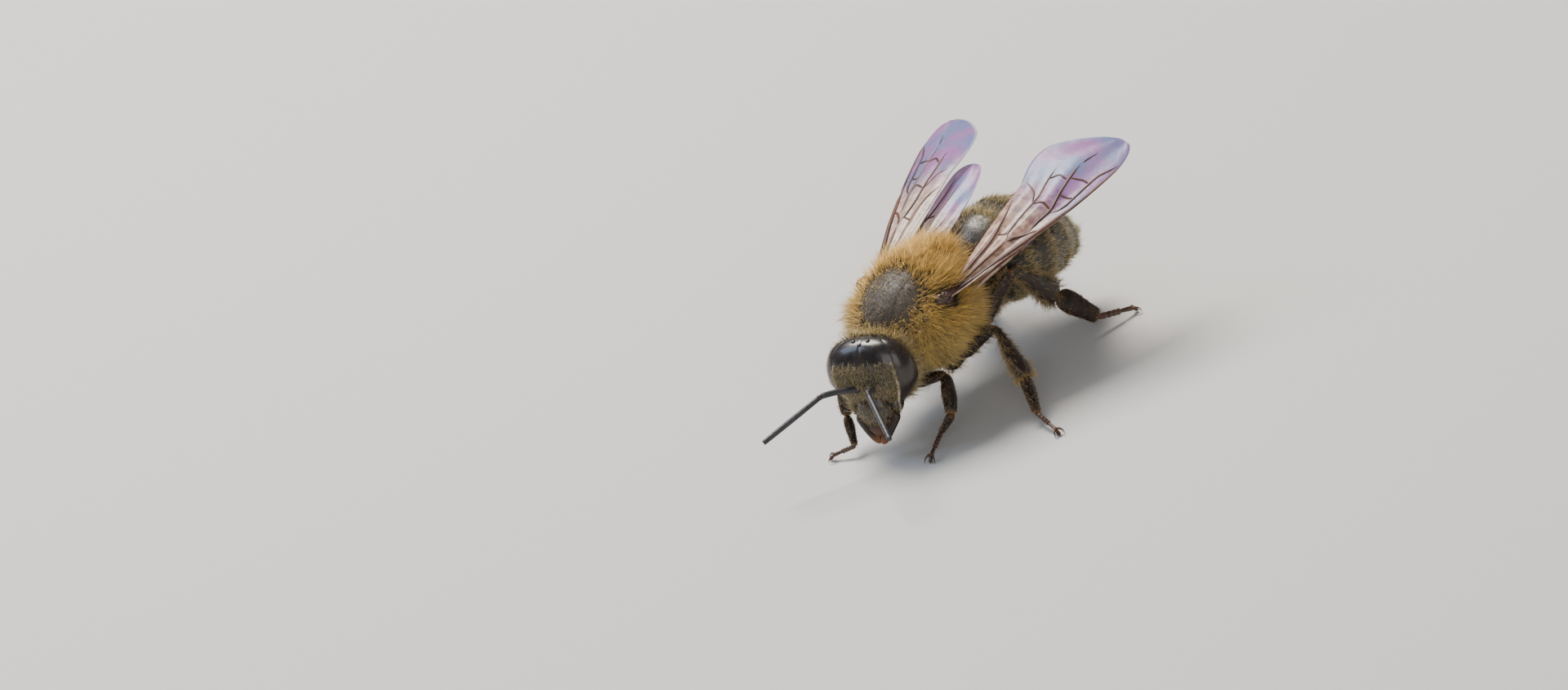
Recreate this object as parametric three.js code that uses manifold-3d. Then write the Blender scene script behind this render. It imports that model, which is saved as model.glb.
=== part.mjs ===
// A worker honeybee, life size, standing with her head turned to her left and her wings half raised.
//
// Millimetres, +Z up. The bee faces -Y and her left side is +X. She is laid out round the middle of
// her thorax, and the whole group is then moved so that its origin is the middle of the footprint,
// on the floor.
import * as THREE from "three";
import { mergeVertices } from "three/addons/utils/BufferGeometryUtils.js";
import Module from "manifold-3d";

const wasm = await Module();
wasm.setup();

// ---------------------------------------------------------------- driving dimensions

const STAND_HEIGHT = 3.82; // floor to the middle of the thorax
const GAP = 0.03; // clearance between neighbouring pieces

// Thorax: half sizes of the bare shell, and how far the coat stands out from it.
const THORAX = { x: 1.9, y: 2.1, z: 1.95 };
const COAT = 0.62;
const BALD_DISC = { tilt: 33, radius: 20 }; // degrees: forwards from straight up, and half its width

// Head: where its middle is and how it is turned (degrees). Its own frame has the face towards -Y.
const HEAD = { x: 0.32, y: -2.92, z: -0.86, yaw: 18.5, pitch: 3, roll: 2.5 };
const HEAD_SIZE = { width: 3.6, height: 3.3, depth: 1.8 };
const EYE = { x: 1.3, y: 0.02, z: 0.1, rx: 0.53, ry: 0.74, rz: 1.44, curl: 0.2, lean: 10, toe: 20 };
const SOCKET = { x: 0.32, y: -0.98, z: -0.12 };
const SCAPE_LENGTH = 1.3;
const FLAGELLUM_LENGTH = 2.7;
const FEELER_THICKNESS = 0.5;

// Abdomen: its own long axis, from the waist to the tip.
const ABDOMEN = { start: 2.3, length: 6.25, halfWidth: 2.13, halfHeight: 1.98 };
const RING_EDGES = [0, 0.13, 0.33, 0.52, 0.69, 0.84, 1]; // shares of the length

// Wings: the root on the left side, and in degrees how far each is spread outwards and lifted, and
// how far its inner edge is raised.
const WING_THICKNESS = 0.5;
const FOREWING_ROOT = [1.85, 0.15, 1.03];
const HINDWING_ROOT = [1.72, 0.5, 0.45];
const WINGS = {
  left: { fore: { spread: 12.2, lift: 11, twist: 14.7 }, hind: { spread: 7, lift: 12.5, twist: 15 } },
  right: { fore: { spread: 23.9, lift: 9.6, twist: 16.5 }, hind: { spread: 7.3, lift: 18.6, twist: 8 } },
};

// Legs: the joints from the hip to the claws.
const LEGS = {
  front_left: { hip: [0.55, -1.66, -2.1], knee: [2.2, -1.2, -1.4], ankle: [2.84, -2.06, -2.52],
                heel: [2.08, -2.12, -3.34], toe: [2.52, -3.16, -3.58] },
  front_right: { hip: [-0.7, -1.5, -2.05], knee: [-1.72, -2.62, -1.15], ankle: [-1.2, -3.38, -2.55],
                 heel: [-0.55, -3.93, -3.42], toe: [-1.14, -4.3, -3.58] },
  middle_left: { hip: [1.2, 0.3, -2.0], knee: [2.66, 1.29, -0.69], ankle: [3.94, 0.87, -2.41],
                 heel: [4.86, 0.14, -3.38], toe: [5.95, -0.2, -3.58] },
  middle_right: { hip: [-1.2, 0.3, -2.0], knee: [-2.5, 1.5, -0.8], ankle: [-3.3, 1.6, -2.7],
                  heel: [-3.95, 1.25, -3.4], toe: [-4.75, 0.75, -3.58] },
  hind_left: { hip: [1.2, 1.7, -1.6], knee: [2.04, 3.28, 0.45], ankle: [1.95, 5.2, -1.82],
               heel: [2.55, 6.33, -3.2], toe: [2.8, 7.7, -3.58] },
  hind_right: { hip: [-1.2, 1.7, -1.6], knee: [-2.1, 3.2, 0.2], ankle: [-2.2, 4.9, -2.05],
                heel: [-2.8, 5.9, -3.3], toe: [-3.2, 7.2, -3.58] },
};
// Half breadths and half thicknesses of each pair's segments.
const LEG_GIRTH = {
  front: { femur: [0.34, 0.3], tibia: [0.3, 0.26], basitarsus: [0.26, 0.25], tarsus: 0.25 },
  middle: { femur: [0.36, 0.32], tibia: [0.35, 0.27], basitarsus: [0.36, 0.25], tarsus: 0.25 },
  hind: { femur: [0.4, 0.32], tibia: [0.5, 0.27], basitarsus: [0.48, 0.25], tarsus: 0.25 },
};
const FOOT_PAD = 0.28; // radius of the claws and pad together

// ---------------------------------------------------------------- materials

const finish = (color, roughness, metalness = 0) =>
  new THREE.MeshStandardMaterial({ color, roughness, metalness });
const SHELL = finish(0x1e1510, 0.35);
const SHEEN = finish(0x2b2119, 0.3);
const FUR = finish(0xa67a33, 0.9);
const DOWN = finish(0x6a5a38, 0.85);
const FACE = finish(0x3a3324, 0.6);
const EYE_BLACK = finish(0x120d0c, 0.12);
const AMBER = finish(0x6b2c14, 0.35);
const FEELER = finish(0x15110f, 0.4);
const WING = finish(0xb89a7c, 0.3);

// ---------------------------------------------------------------- solids

const vec = (p) => new THREE.Vector3(...p);
const mix = (a, b, t) => a + (b - a) * t;
const smooth = (t) => t * t * (3 - 2 * t);
const clamp = (t) => Math.min(1, Math.max(0, t));
const radians = THREE.MathUtils.degToRad;

// A closed three.js geometry as a manifold-3d solid.
function solid(geometry) {
  const bare = geometry.clone();
  bare.deleteAttribute("normal");
  bare.deleteAttribute("uv");
  const merged = mergeVertices(bare, 1e-4);
  const index = merged.index.array;
  const kept = [];
  for (let i = 0; i < index.length; i += 3) {
    const [a, b, c] = index.subarray(i, i + 3);
    if (a !== b && b !== c && c !== a) kept.push(a, b, c);
  }
  const vertProperties = new Float32Array(merged.attributes.position.array);
  return new wasm.Manifold(
    new wasm.Mesh({ numProp: 3, vertProperties, triVerts: new Uint32Array(kept) }),
  );
}

// Moves every vertex of a geometry by a function that changes the vector it is given.
function warp(geometry, move) {
  const position = geometry.attributes.position;
  const point = new THREE.Vector3();
  for (let i = 0; i < position.count; i++) {
    move(point.fromBufferAttribute(position, i));
    position.setXYZ(i, point.x, point.y, point.z);
  }
  return geometry;
}

// A rounded body: a sphere whose surface is set by a function of its unit direction.
function blob(across, around, shape) {
  const ball = new THREE.SphereGeometry(1, across, around).rotateX(Math.PI / 2);
  return warp(ball, (p) => shape(p));
}

// A segment from one joint to the next. girth(t) is its size from 0 to 1 along it, and broad is the
// way in which it is widest.
function limb(from, to, breadth, thickness, options = {}) {
  const { girth = plainGirth, broad = [0, 0, 1], sides = 8, rings = 4, bow = [0, 0, 0] } = options;
  const start = vec(from);
  const along = vec(to).sub(start);
  const length = along.length();
  const y = along.clone().normalize();
  const x = vec(broad).addScaledVector(y, -vec(broad).dot(y)).normalize();
  const z = x.clone().cross(y);
  const profile = [new THREE.Vector2(0, 0)];
  for (let i = 0; i <= rings; i++) {
    const t = mix(0.03, 0.97, (1 - Math.cos((Math.PI * i) / rings)) / 2);
    profile.push(new THREE.Vector2(girth(t), t));
  }
  profile.push(new THREE.Vector2(0, 1));
  const bend = vec(bow);
  const turned = new THREE.LatheGeometry(profile, sides);
  return warp(turned, (p) => {
    const { x: px, y: t, z: pz } = p;
    p.copy(start).addScaledVector(along, mix(GAP / length, 1 - GAP / length, t));
    p.addScaledVector(x, px * breadth).addScaledVector(z, pz * thickness);
    p.addScaledVector(bend, 4 * t * (1 - t));
  });
}

const capped = (t, cap) => Math.sqrt(1 - (1 - clamp(Math.min(t, 1 - t) / cap)) ** 2);
const plainGirth = (t) => 0.15 + 0.85 * capped(t, 0.3);

// A mesh of one named node, from a solid or a geometry.
function node(name, shape, material) {
  if (shape.isBufferGeometry) return node(name, solid(shape), material);
  const { vertProperties, triVerts } = shape.getMesh();
  const geometry = new THREE.BufferGeometry()
    .setAttribute("position", new THREE.BufferAttribute(vertProperties, 3))
    .setIndex(new THREE.BufferAttribute(triVerts, 1));
  geometry.computeVertexNormals();
  const mesh = new THREE.Mesh(geometry, material);
  mesh.name = name;
  return mesh;
}

// ---------------------------------------------------------------- thorax

const baldAxis = new THREE.Vector3(0, -Math.sin(radians(BALD_DISC.tilt)),
  Math.cos(radians(BALD_DISC.tilt)));

// How far the coat stands out in a direction: hardly at all on the bare disc, less underneath.
function coatDepth(direction) {
  const off = THREE.MathUtils.radToDeg(direction.angleTo(baldAxis));
  const disc = smooth(clamp((off - BALD_DISC.radius) / 26));
  const below = smooth(clamp((direction.z + 0.9) / 0.7));
  const behind = smooth(clamp((direction.y - 0.55) / 0.35)) * smooth(clamp(0.6 - direction.z));
  return COAT * mix(0.15, 1, disc) * mix(0.25, 1, below) * mix(1, 0.3, behind);
}

function thoraxShape(grow) {
  return blob(24, 14, (p) => {
    const out = coatDepth(p) + grow;
    const flank = 1 - 0.1 * smooth(clamp(-p.z)); // the sides draw in towards the legs
    const rear = 1 - 0.08 * smooth(clamp(p.y)) * smooth(clamp(-p.z + 0.4));
    p.set(p.x * (THORAX.x + out) * flank, p.y * (THORAX.y + out) * rear, p.z * (THORAX.z + out));
  });
}

function scutellumShape() {
  return blob(12, 7, (p) => {
    const back = 1.62 - 0.32 * p.x * p.x;
    p.set(p.x * 1.15, back + p.y * 0.75, 1.72 - 0.2 * p.x * p.x + p.z * 0.62);
  });
}

function tegulaShape(side, grow) {
  return blob(8, 6, (p) => {
    const size = 0.4 + grow;
    p.set(side * 1.98 + p.x * size * 0.8, -0.26 + p.y * size * 1.1, 1.16 + p.z * size);
  });
}

// ---------------------------------------------------------------- head

const headFrame = new THREE.Matrix4().compose(
  new THREE.Vector3(HEAD.x, HEAD.y, HEAD.z),
  new THREE.Quaternion().setFromEuler(new THREE.Euler(
    radians(-HEAD.pitch), radians(-HEAD.roll), radians(HEAD.yaw), "ZXY")),
  new THREE.Vector3(1, 1, 1),
);
const onHead = (geometry) => geometry.applyMatrix4(headFrame);
const headPoint = (p) => vec(p).applyMatrix4(headFrame).toArray();

// From the front the head is a rounded triangle, domed in front and hollow behind.
function headShape(grow) {
  return onHead(blob(20, 12, (p) => {
    const narrow = mix(1, 0.58, smooth(clamp(-p.z * 0.95 + 0.02)));
    const crown = 1 - 0.05 * clamp(p.z) * (1 - p.x * p.x);
    const behind = p.y > 0 ? 0.72 : 1;
    const chin = 1 - 0.12 * smooth(clamp(-p.z));
    p.set(
      p.x * (HEAD_SIZE.width / 2 + grow) * narrow,
      p.y * (HEAD_SIZE.depth / 2 + grow) * behind * chin,
      p.z * (HEAD_SIZE.height / 2 + grow) * crown,
    );
  }));
}

// Each compound eye is a tall kidney, broader at the top, and the pair draw together below.
function eyeShape(side, grow) {
  const eye = blob(12, 10, (p) => {
    const waist = 1 - 0.16 * smooth(clamp(-p.z));
    const inwards = -side * EYE.curl * p.z * p.z;
    p.set(p.x * (EYE.rx + grow) * waist + inwards, p.y * (EYE.ry + grow) * waist,
      p.z * (EYE.rz + grow));
  });
  eye.rotateZ(radians(side * EYE.toe)).rotateY(radians(side * EYE.lean));
  return onHead(eye.translate(side * EYE.x, EYE.y, EYE.z));
}

// Three small lenses in a triangle on the crown.
function ocellusShape(index) {
  const [x, y, z] = [[0, -0.36, 1.55], [0.28, -0.02, 1.6], [-0.28, -0.02, 1.6]][index];
  return onHead(blob(6, 4, (p) => p.set(x + p.x * 0.14, y + p.y * 0.14, z + p.z * 0.14)));
}

function clypeusShape(grow) {
  return onHead(blob(10, 7, (p) => {
    const broad = mix(0.78, 1, smooth(clamp(0.5 - 0.5 * p.z)));
    p.set(p.x * (0.78 + grow) * broad, -0.66 + p.y * (0.42 + grow), -0.98 + p.z * (0.62 + grow));
  }));
}

function labrumShape(grow) {
  return onHead(blob(8, 6, (p) =>
    p.set(p.x * (0.46 + grow), -0.72 + p.y * (0.25 + grow), -1.68 + p.z * (0.25 + grow))));
}

function mandibleShape(side, grow) {
  const girth = (t) => mix(1, 0.55, t) * (0.25 + 0.75 * capped(t, 0.22));
  return limb(headPoint([side * 0.82, -0.5, -1.28]), headPoint([side * 0.2, -0.86, -2.3]),
    0.31 + grow, 0.26 + grow, { girth, broad: [0, 1, 0], bow: [side * 0.1, -0.06, -0.06] });
}

function proboscisShape() {
  return limb(headPoint([0, -0.15, -1.35]), headPoint([0, -0.48, -2.42]), 0.26, 0.26,
    { broad: [1, 0, 0] });
}

// Each feeler is a straight first segment and a long one that hangs from it at an elbow.
const FEELERS = {
  right: { scape: [-0.55, -0.82, 0.24], flagellum: [-0.38, -0.86, -0.3] },
  left: { scape: [0.6, -0.68, 0.42], flagellum: [0.8, -0.53, -0.26] },
};

function feelerJoints(side, sign) {
  const socket = vec(headPoint([sign * SOCKET.x, SOCKET.y, SOCKET.z]));
  const elbow = socket.clone().addScaledVector(vec(FEELERS[side].scape).normalize(), SCAPE_LENGTH);
  const tip = elbow.clone()
    .addScaledVector(vec(FEELERS[side].flagellum).normalize(), FLAGELLUM_LENGTH);
  return { socket: socket.toArray(), elbow: elbow.toArray(), tip: tip.toArray() };
}

// ---------------------------------------------------------------- abdomen

const abdomenHeight = (s) => -0.2 + 1.7 * s - 2.65 * s * s;

function abdomenGirth(s) {
  const widest = 0.42;
  if (s < widest) return (1 - ((widest - s) / widest) ** 2.6) ** 0.5;
  return (1 - ((s - widest) / (1 - widest)) ** 2) ** 0.72;
}

function bendAbdomen(turned, grow) {
  return warp(turned, (p) => {
    const s = p.y;
    p.set(p.x * (ABDOMEN.halfWidth + grow), ABDOMEN.start + s * ABDOMEN.length,
      abdomenHeight(s) + p.z * (ABDOMEN.halfHeight + grow));
  });
}

// The whole abdomen a little swollen, to cut clearances with.
function abdomenClearance() {
  const profile = [];
  for (let i = 0; i <= 12; i++) profile.push(new THREE.Vector2(abdomenGirth(i / 12) * 1.015, i / 12));
  return bendAbdomen(new THREE.LatheGeometry(profile, 20), GAP);
}

// One ring of the abdomen: it flares a little towards its rear edge, which laps over the next.
function abdomenRing(index) {
  const [from, to] = [RING_EDGES[index], RING_EDGES[index + 1]];
  const profile = [];
  const steps = 3;
  const gap = GAP / ABDOMEN.length;
  for (let i = 0; i <= steps; i++) {
    const s = mix(from + gap, to - gap, i / steps);
    const flare = index < 5 ? mix(0.975, 1.015, i / steps) : 1;
    profile.push(new THREE.Vector2(Math.max(0.02, abdomenGirth(s) * flare), s));
  }
  profile.unshift(new THREE.Vector2(0, profile[0].y));
  profile.push(new THREE.Vector2(0, profile.at(-1).y));
  return bendAbdomen(new THREE.LatheGeometry(profile, 20), 0);
}

// ---------------------------------------------------------------- wings

// Outlines along the wing from the root, with the front edge on the low side.
function forewingOutline() {
  const outline = new THREE.Shape();
  outline.moveTo(0, -0.16);
  outline.bezierCurveTo(3.0, -0.5, 5.8, -0.72, 7.9, -0.5);
  outline.bezierCurveTo(8.6, -0.4, 9.2, -0.15, 9.28, 0.3);
  outline.bezierCurveTo(9.35, 1.1, 8.3, 2.0, 7.5, 2.4);
  outline.bezierCurveTo(7.0, 2.65, 6.3, 2.5, 5.36, 1.87);
  outline.bezierCurveTo(3.9, 1.55, 1.6, 0.75, 0, 0.15);
  return outline;
}

function hindwingOutline() {
  const outline = new THREE.Shape();
  outline.moveTo(0, -0.14);
  outline.bezierCurveTo(2.4, -0.3, 4.6, -0.42, 5.8, -0.25);
  outline.bezierCurveTo(6.3, -0.1, 6.45, 0.3, 6.35, 0.62);
  outline.bezierCurveTo(6.0, 1.2, 5.0, 1.42, 3.9, 1.42);
  outline.bezierCurveTo(2.6, 1.45, 1.2, 0.95, 0, 0.2);
  return outline;
}

function wingShape(outline, [x, y, z], { spread, lift, twist }, side, grow = 0) {
  const [out, up, turn] = [spread, lift, twist].map(radians);
  const along = new THREE.Vector3(
    side * Math.sin(out) * Math.cos(up), Math.cos(out) * Math.cos(up), Math.sin(up));
  const chord = new THREE.Vector3(-side * Math.cos(turn), 0, Math.sin(turn));
  chord.addScaledVector(along, -chord.dot(along)).normalize();
  const normal = along.clone().cross(chord);
  const sheet = new THREE.ExtrudeGeometry(outline,
    { depth: WING_THICKNESS + 2 * grow, bevelEnabled: false, curveSegments: 5 });
  sheet.translate(0, 0, -WING_THICKNESS / 2 - grow);
  sheet.applyMatrix4(new THREE.Matrix4().makeBasis(along, chord, normal));
  return sheet.translate(side * x, y, z);
}

// ---------------------------------------------------------------- legs

const SIDE_SIGN = { left: 1, right: -1 };

// Sizes along a segment, from the joint nearer the body.
const femurGirth = (t) => capped(t, 0.28) * mix(0.95, 0.72, smooth(t)) + 0.05;
const tibiaGirth = (t) => (0.12 + 0.88 * capped(t, 0.16)) * mix(0.52, 1, smooth(clamp(t * 1.35)));
const basitarsusGirth = (t) => (0.15 + 0.85 * capped(t, 0.18)) * mix(0.95, 0.85, t);
const tarsusGirth = (t) => 0.3 + 0.7 * capped(t, 0.2);

// The foot stands on a flat cut at floor level through the pad below its claws.
function footSolid(heel, toe, girth) {
  const strip = limb(heel, toe, girth, girth, { girth: tarsusGirth, rings: 3 });
  const [x, y, z] = toe;
  const pad = blob(8, 5, (p) =>
    p.set(x + p.x * FOOT_PAD * 1.15, y + p.y * FOOT_PAD * 1.15, z + p.z * FOOT_PAD));
  const below = new THREE.BoxGeometry(40, 40, 4).translate(0, 0, -STAND_HEIGHT - 2);
  return solid(strip).add(solid(pad)).subtract(solid(below));
}

function makeLeg(name, torso) {
  const [pair, sideName] = name.split("_");
  const side = SIDE_SIGN[sideName];
  const { hip, knee, ankle, heel, toe } = LEGS[name];
  const girth = LEG_GIRTH[pair];
  const shoulder = [hip[0] * 0.62, hip[1] * 0.86, hip[2] + 0.75];
  const outward = [side, 0, 0];
  // The broad faces of the shin and of the long foot segment look sideways.
  const across = (a, b) => vec(b).sub(vec(a)).cross(vec(outward)).toArray();
  const segments = {
    coxa: [shoulder, hip, 0.42, 0.4, { girth: (t) => 0.3 + 0.7 * capped(t, 0.4) }],
    femur: [hip, knee, ...girth.femur, { girth: femurGirth, broad: across(hip, knee) }],
    tibia: [knee, ankle, ...girth.tibia, { girth: tibiaGirth, broad: across(knee, ankle) }],
    basitarsus: [ankle, heel, ...girth.basitarsus,
      { girth: basitarsusGirth, broad: across(ankle, heel) }],
  };
  const meshes = [];
  let previous = torso;
  for (const [segment, [from, to, breadth, thickness, options]] of Object.entries(segments)) {
    const piece = solid(limb(from, to, breadth, thickness, options))
      .subtract(previous).subtract(torso);
    meshes.push(node(`leg_${name}_${segment}`, largest(piece), SHELL));
    previous = solid(limb(from, to, breadth + GAP, thickness + GAP, options));
  }
  const foot = footSolid(heel, toe, girth.tarsus).subtract(previous);
  meshes.push(node(`leg_${name}_tarsus`, largest(foot), AMBER));
  return meshes;
}

// A cut can leave crumbs beside the piece that is wanted.
function largest(shape) {
  return shape.decompose().reduce((a, b) => (b.volume() > a.volume() ? b : a));
}

// ---------------------------------------------------------------- assembly

const bee = new THREE.Group();
bee.name = "honeybee";

const headGrown = solid(headShape(GAP))
  .add(solid(eyeShape(1, GAP)))
  .add(solid(eyeShape(-1, GAP)));
const tegulae = solid(tegulaShape(1, GAP)).add(solid(tegulaShape(-1, GAP)));
const thoraxGrown = solid(thoraxShape(GAP));
const thorax = solid(thoraxShape(0)).subtract(headGrown).subtract(tegulae);
bee.add(node("thorax", largest(thorax), FUR));
bee.add(node("scutellum", largest(solid(scutellumShape()).subtract(thoraxGrown)), FUR));
for (const [side, sign] of Object.entries(SIDE_SIGN)) {
  bee.add(node(`tegula_${side}`, tegulaShape(sign, 0), SHELL));
}

let head = solid(headShape(0));
for (const sign of [1, -1]) head = head.subtract(solid(eyeShape(sign, GAP)));
for (const index of [0, 1, 2]) head = head.add(solid(ocellusShape(index)));
bee.add(node("head", largest(head), SHEEN));
for (const [side, sign] of Object.entries(SIDE_SIGN)) {
  bee.add(node(`eye_${side}`, eyeShape(sign, 0), EYE_BLACK));
}
const clypeus = solid(clypeusShape(0)).subtract(headGrown);
const clypeusGrown = solid(clypeusShape(GAP));
bee.add(node("clypeus", largest(clypeus), FACE));
const labrum = solid(labrumShape(0)).subtract(headGrown).subtract(clypeusGrown);
let mouth = headGrown.add(clypeusGrown).add(solid(labrumShape(GAP)));
bee.add(node("labrum", largest(labrum), FACE));
for (const [side, sign] of Object.entries(SIDE_SIGN)) {
  const mandible = solid(mandibleShape(sign, 0)).subtract(mouth);
  bee.add(node(`mandible_${side}`, largest(mandible), AMBER));
}
mouth = mouth.add(solid(mandibleShape(1, GAP))).add(solid(mandibleShape(-1, GAP)));
bee.add(node("proboscis", largest(solid(proboscisShape()).subtract(mouth)), AMBER));

for (const [side, sign] of Object.entries(SIDE_SIGN)) {
  const { socket, elbow, tip } = feelerJoints(side, sign);
  const half = FEELER_THICKNESS / 2;
  const scape = solid(limb(socket, elbow, half, half)).subtract(headGrown).subtract(clypeusGrown);
  const scapeGrown = solid(limb(socket, elbow, half + GAP, half + GAP));
  const girth = (t) => 0.4 + 0.6 * capped(t, 0.08);
  const flagellum = solid(limb(elbow, tip, half, half, { girth, rings: 6 })).subtract(scapeGrown);
  bee.add(node(`antenna_${side}_scape`, largest(scape), FEELER));
  bee.add(node(`antenna_${side}_flagellum`, largest(flagellum), FEELER));
}

const neck = limb([0, -1.3, -0.75], headPoint([0, 0.2, 0]), 0.55, 0.55, { girth: () => 1 });
bee.add(node("neck", largest(solid(neck).subtract(thoraxGrown).subtract(headGrown)), SHELL));
const waist = limb([0, 1.4, -0.45], [0, 3.0, -0.15], 0.55, 0.5, { girth: () => 1 });
const firstRing = solid(abdomenRing(0));
bee.add(node("petiole",
  largest(solid(waist).subtract(thoraxGrown).subtract(firstRing.translate(0, -GAP, 0))), SHELL));
for (let index = 0; index < 6; index++) {
  const ring = index === 0 ? firstRing.subtract(thoraxGrown) : solid(abdomenRing(index));
  bee.add(node(`abdomen_${index + 1}`, largest(ring), index < 3 ? DOWN : SHELL));
}

const torso = thoraxGrown.add(tegulae).add(solid(abdomenClearance()));
for (const [side, sign] of Object.entries(SIDE_SIGN)) {
  const { fore, hind } = WINGS[side];
  const foreSheet = solid(wingShape(forewingOutline(), FOREWING_ROOT, fore, sign));
  const hindSheet = solid(wingShape(hindwingOutline(), HINDWING_ROOT, hind, sign));
  bee.add(node(`forewing_${side}`, largest(foreSheet.subtract(torso)), WING));
  const foreGrown = solid(wingShape(forewingOutline(), FOREWING_ROOT, fore, sign, GAP));
  bee.add(node(`hindwing_${side}`, largest(hindSheet.subtract(torso).subtract(foreGrown)), WING));
}

for (const name of Object.keys(LEGS)) bee.add(...makeLeg(name, torso));

// The origin: the middle of the footprint, on the floor.
const box = new THREE.Box3().setFromObject(bee);
const middle = box.getCenter(new THREE.Vector3());
bee.position.set(-middle.x, -middle.y, STAND_HEIGHT);

export default bee;
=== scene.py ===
"""A worker honeybee as a still, life-size museum model, standing with her head turned to her left.

Her pieces are laid out in millimetres round the middle of her thorax. She faces -Y and her left
side is +X. PLACE then puts each finished mesh on the floor, in metres.
"""
from math import cos, pi, radians, sin

import bmesh
import bpy
import numpy as np
from mathutils import Matrix, Vector, geometry


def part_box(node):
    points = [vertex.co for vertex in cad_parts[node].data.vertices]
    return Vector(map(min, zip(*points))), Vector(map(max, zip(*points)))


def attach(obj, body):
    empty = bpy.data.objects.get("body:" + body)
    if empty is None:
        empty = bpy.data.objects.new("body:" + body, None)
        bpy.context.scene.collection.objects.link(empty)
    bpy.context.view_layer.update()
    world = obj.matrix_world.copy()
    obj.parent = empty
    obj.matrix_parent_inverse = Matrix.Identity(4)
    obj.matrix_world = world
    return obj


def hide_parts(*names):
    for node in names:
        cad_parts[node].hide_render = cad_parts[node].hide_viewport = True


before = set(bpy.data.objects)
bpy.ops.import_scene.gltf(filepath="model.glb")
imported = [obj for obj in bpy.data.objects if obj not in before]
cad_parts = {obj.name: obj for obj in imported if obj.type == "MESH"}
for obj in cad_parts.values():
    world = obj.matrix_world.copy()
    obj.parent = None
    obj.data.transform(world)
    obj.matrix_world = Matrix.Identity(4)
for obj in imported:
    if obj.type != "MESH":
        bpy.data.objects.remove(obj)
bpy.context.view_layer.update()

# ------------------------------------------------------------------ where she stands
# The middle of her thorax is at half her thorax's width, a set way in front of the tail tip, and
# at standing height above the floor.
MM = 0.001
STAND_HEIGHT = 3.82
THORAX_TO_TAIL = 8.52
SIDES = {"left": 1, "right": -1}

thorax_low, thorax_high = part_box("thorax")
tail_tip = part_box("abdomen_6")[1].y
MIDDLE = Vector(((thorax_low.x + thorax_high.x) / 2, tail_tip - THORAX_TO_TAIL * MM, STAND_HEIGHT * MM))
PLACE = Matrix.Translation(MIDDLE) @ Matrix.Scale(MM, 4)
UNPLACE = PLACE.inverted()


def node_box(name):
    """A solid's lowest and highest corners in her millimetres."""
    return [np.array(UNPLACE @ corner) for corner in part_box(name)]


# ------------------------------------------------------------------ camera
# It looks down at her from her front left, tilted to one side, through a long lens.
AZIMUTH = radians(50.2)
ELEVATION = radians(26.1)
ROLL = radians(16.2)
DISTANCE = 300 * MM
VIEW_WIDTH = 56.75 * MM
SENSOR = 36
OFF_CENTRE = (4.73 * MM, 1.08 * MM)
NEAREST = 10 * MM
FARTHEST = 20

towards = Vector((sin(AZIMUTH) * cos(ELEVATION), -cos(AZIMUTH) * cos(ELEVATION), sin(ELEVATION)))
level = Vector((cos(AZIMUTH), sin(AZIMUTH), 0))
upright = towards.cross(level)
right = cos(ROLL) * level - sin(ROLL) * upright
up = sin(ROLL) * level + cos(ROLL) * upright
aim = MIDDLE - OFF_CENTRE[0] * right - OFF_CENTRE[1] * up

camera_data = bpy.data.cameras.new("camera")
camera_data.sensor_width = SENSOR
camera_data.lens = SENSOR * DISTANCE / VIEW_WIDTH
camera_data.clip_start = NEAREST
camera_data.clip_end = FARTHEST
camera = bpy.data.objects.new("camera", camera_data)
turn = Matrix((right, up, towards)).transposed()
camera.matrix_world = Matrix.Translation(aim + towards * DISTANCE) @ turn.to_4x4()
bpy.context.scene.collection.objects.link(camera)
bpy.context.scene.camera = camera


# ------------------------------------------------------------------ body skin
# The thorax is one hard, domed box of fused plates under the coat: the large back plate with its
# bare disc, the cushion of the scutellum behind it, and below that the slope down to the waist.
THORAX = (1.9, 2.1, 1.95)
COAT_DEPTH = 0.66
BALD_TILT = radians(37)
BALD_AXIS = np.array([0, -sin(BALD_TILT), cos(BALD_TILT)])
BALD_ALONG = np.array([0, cos(BALD_TILT), sin(BALD_TILT)])
BALD_WIDENING = 0.78
BALD_RADIUS = 26
BALD_EDGE = 28


# Round pieces are spheres whose points a function of their direction moves. Long ones are drawn out
# from one joint to the next. Both are laid out in her millimetres and then settled in their place.
def smooth(t):
    t = np.clip(t, 0, 1)
    return t * t * (3 - 2 * t)


def mix(a, b, t):
    return a + (b - a) * t


def unit(v):
    v = np.asarray(v, float)
    return v / np.maximum(np.linalg.norm(v, axis=-1, keepdims=True), 1e-9)


def ball(bm, across, around, shape, ripe=0.0):
    """Adds a sphere of across by around faces, its points moved by shape(directions).

    ripe is how pale and red the shell is, as one number or as a function of the directions.
    """
    made = bmesh.ops.create_uvsphere(bm, u_segments=across, v_segments=around, radius=1)["verts"]
    directions = np.array([v.co[:] for v in made])
    layer = bm.verts.layers.float["ripe"]
    shades = ripe(directions) if callable(ripe) else np.full(len(made), ripe)
    for vert, place, shade in zip(made, shape(directions), shades):
        vert.co = place
        vert[layer] = shade


def new_shape():
    bm = bmesh.new()
    bm.verts.layers.float.new("ripe")
    return bm


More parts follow.
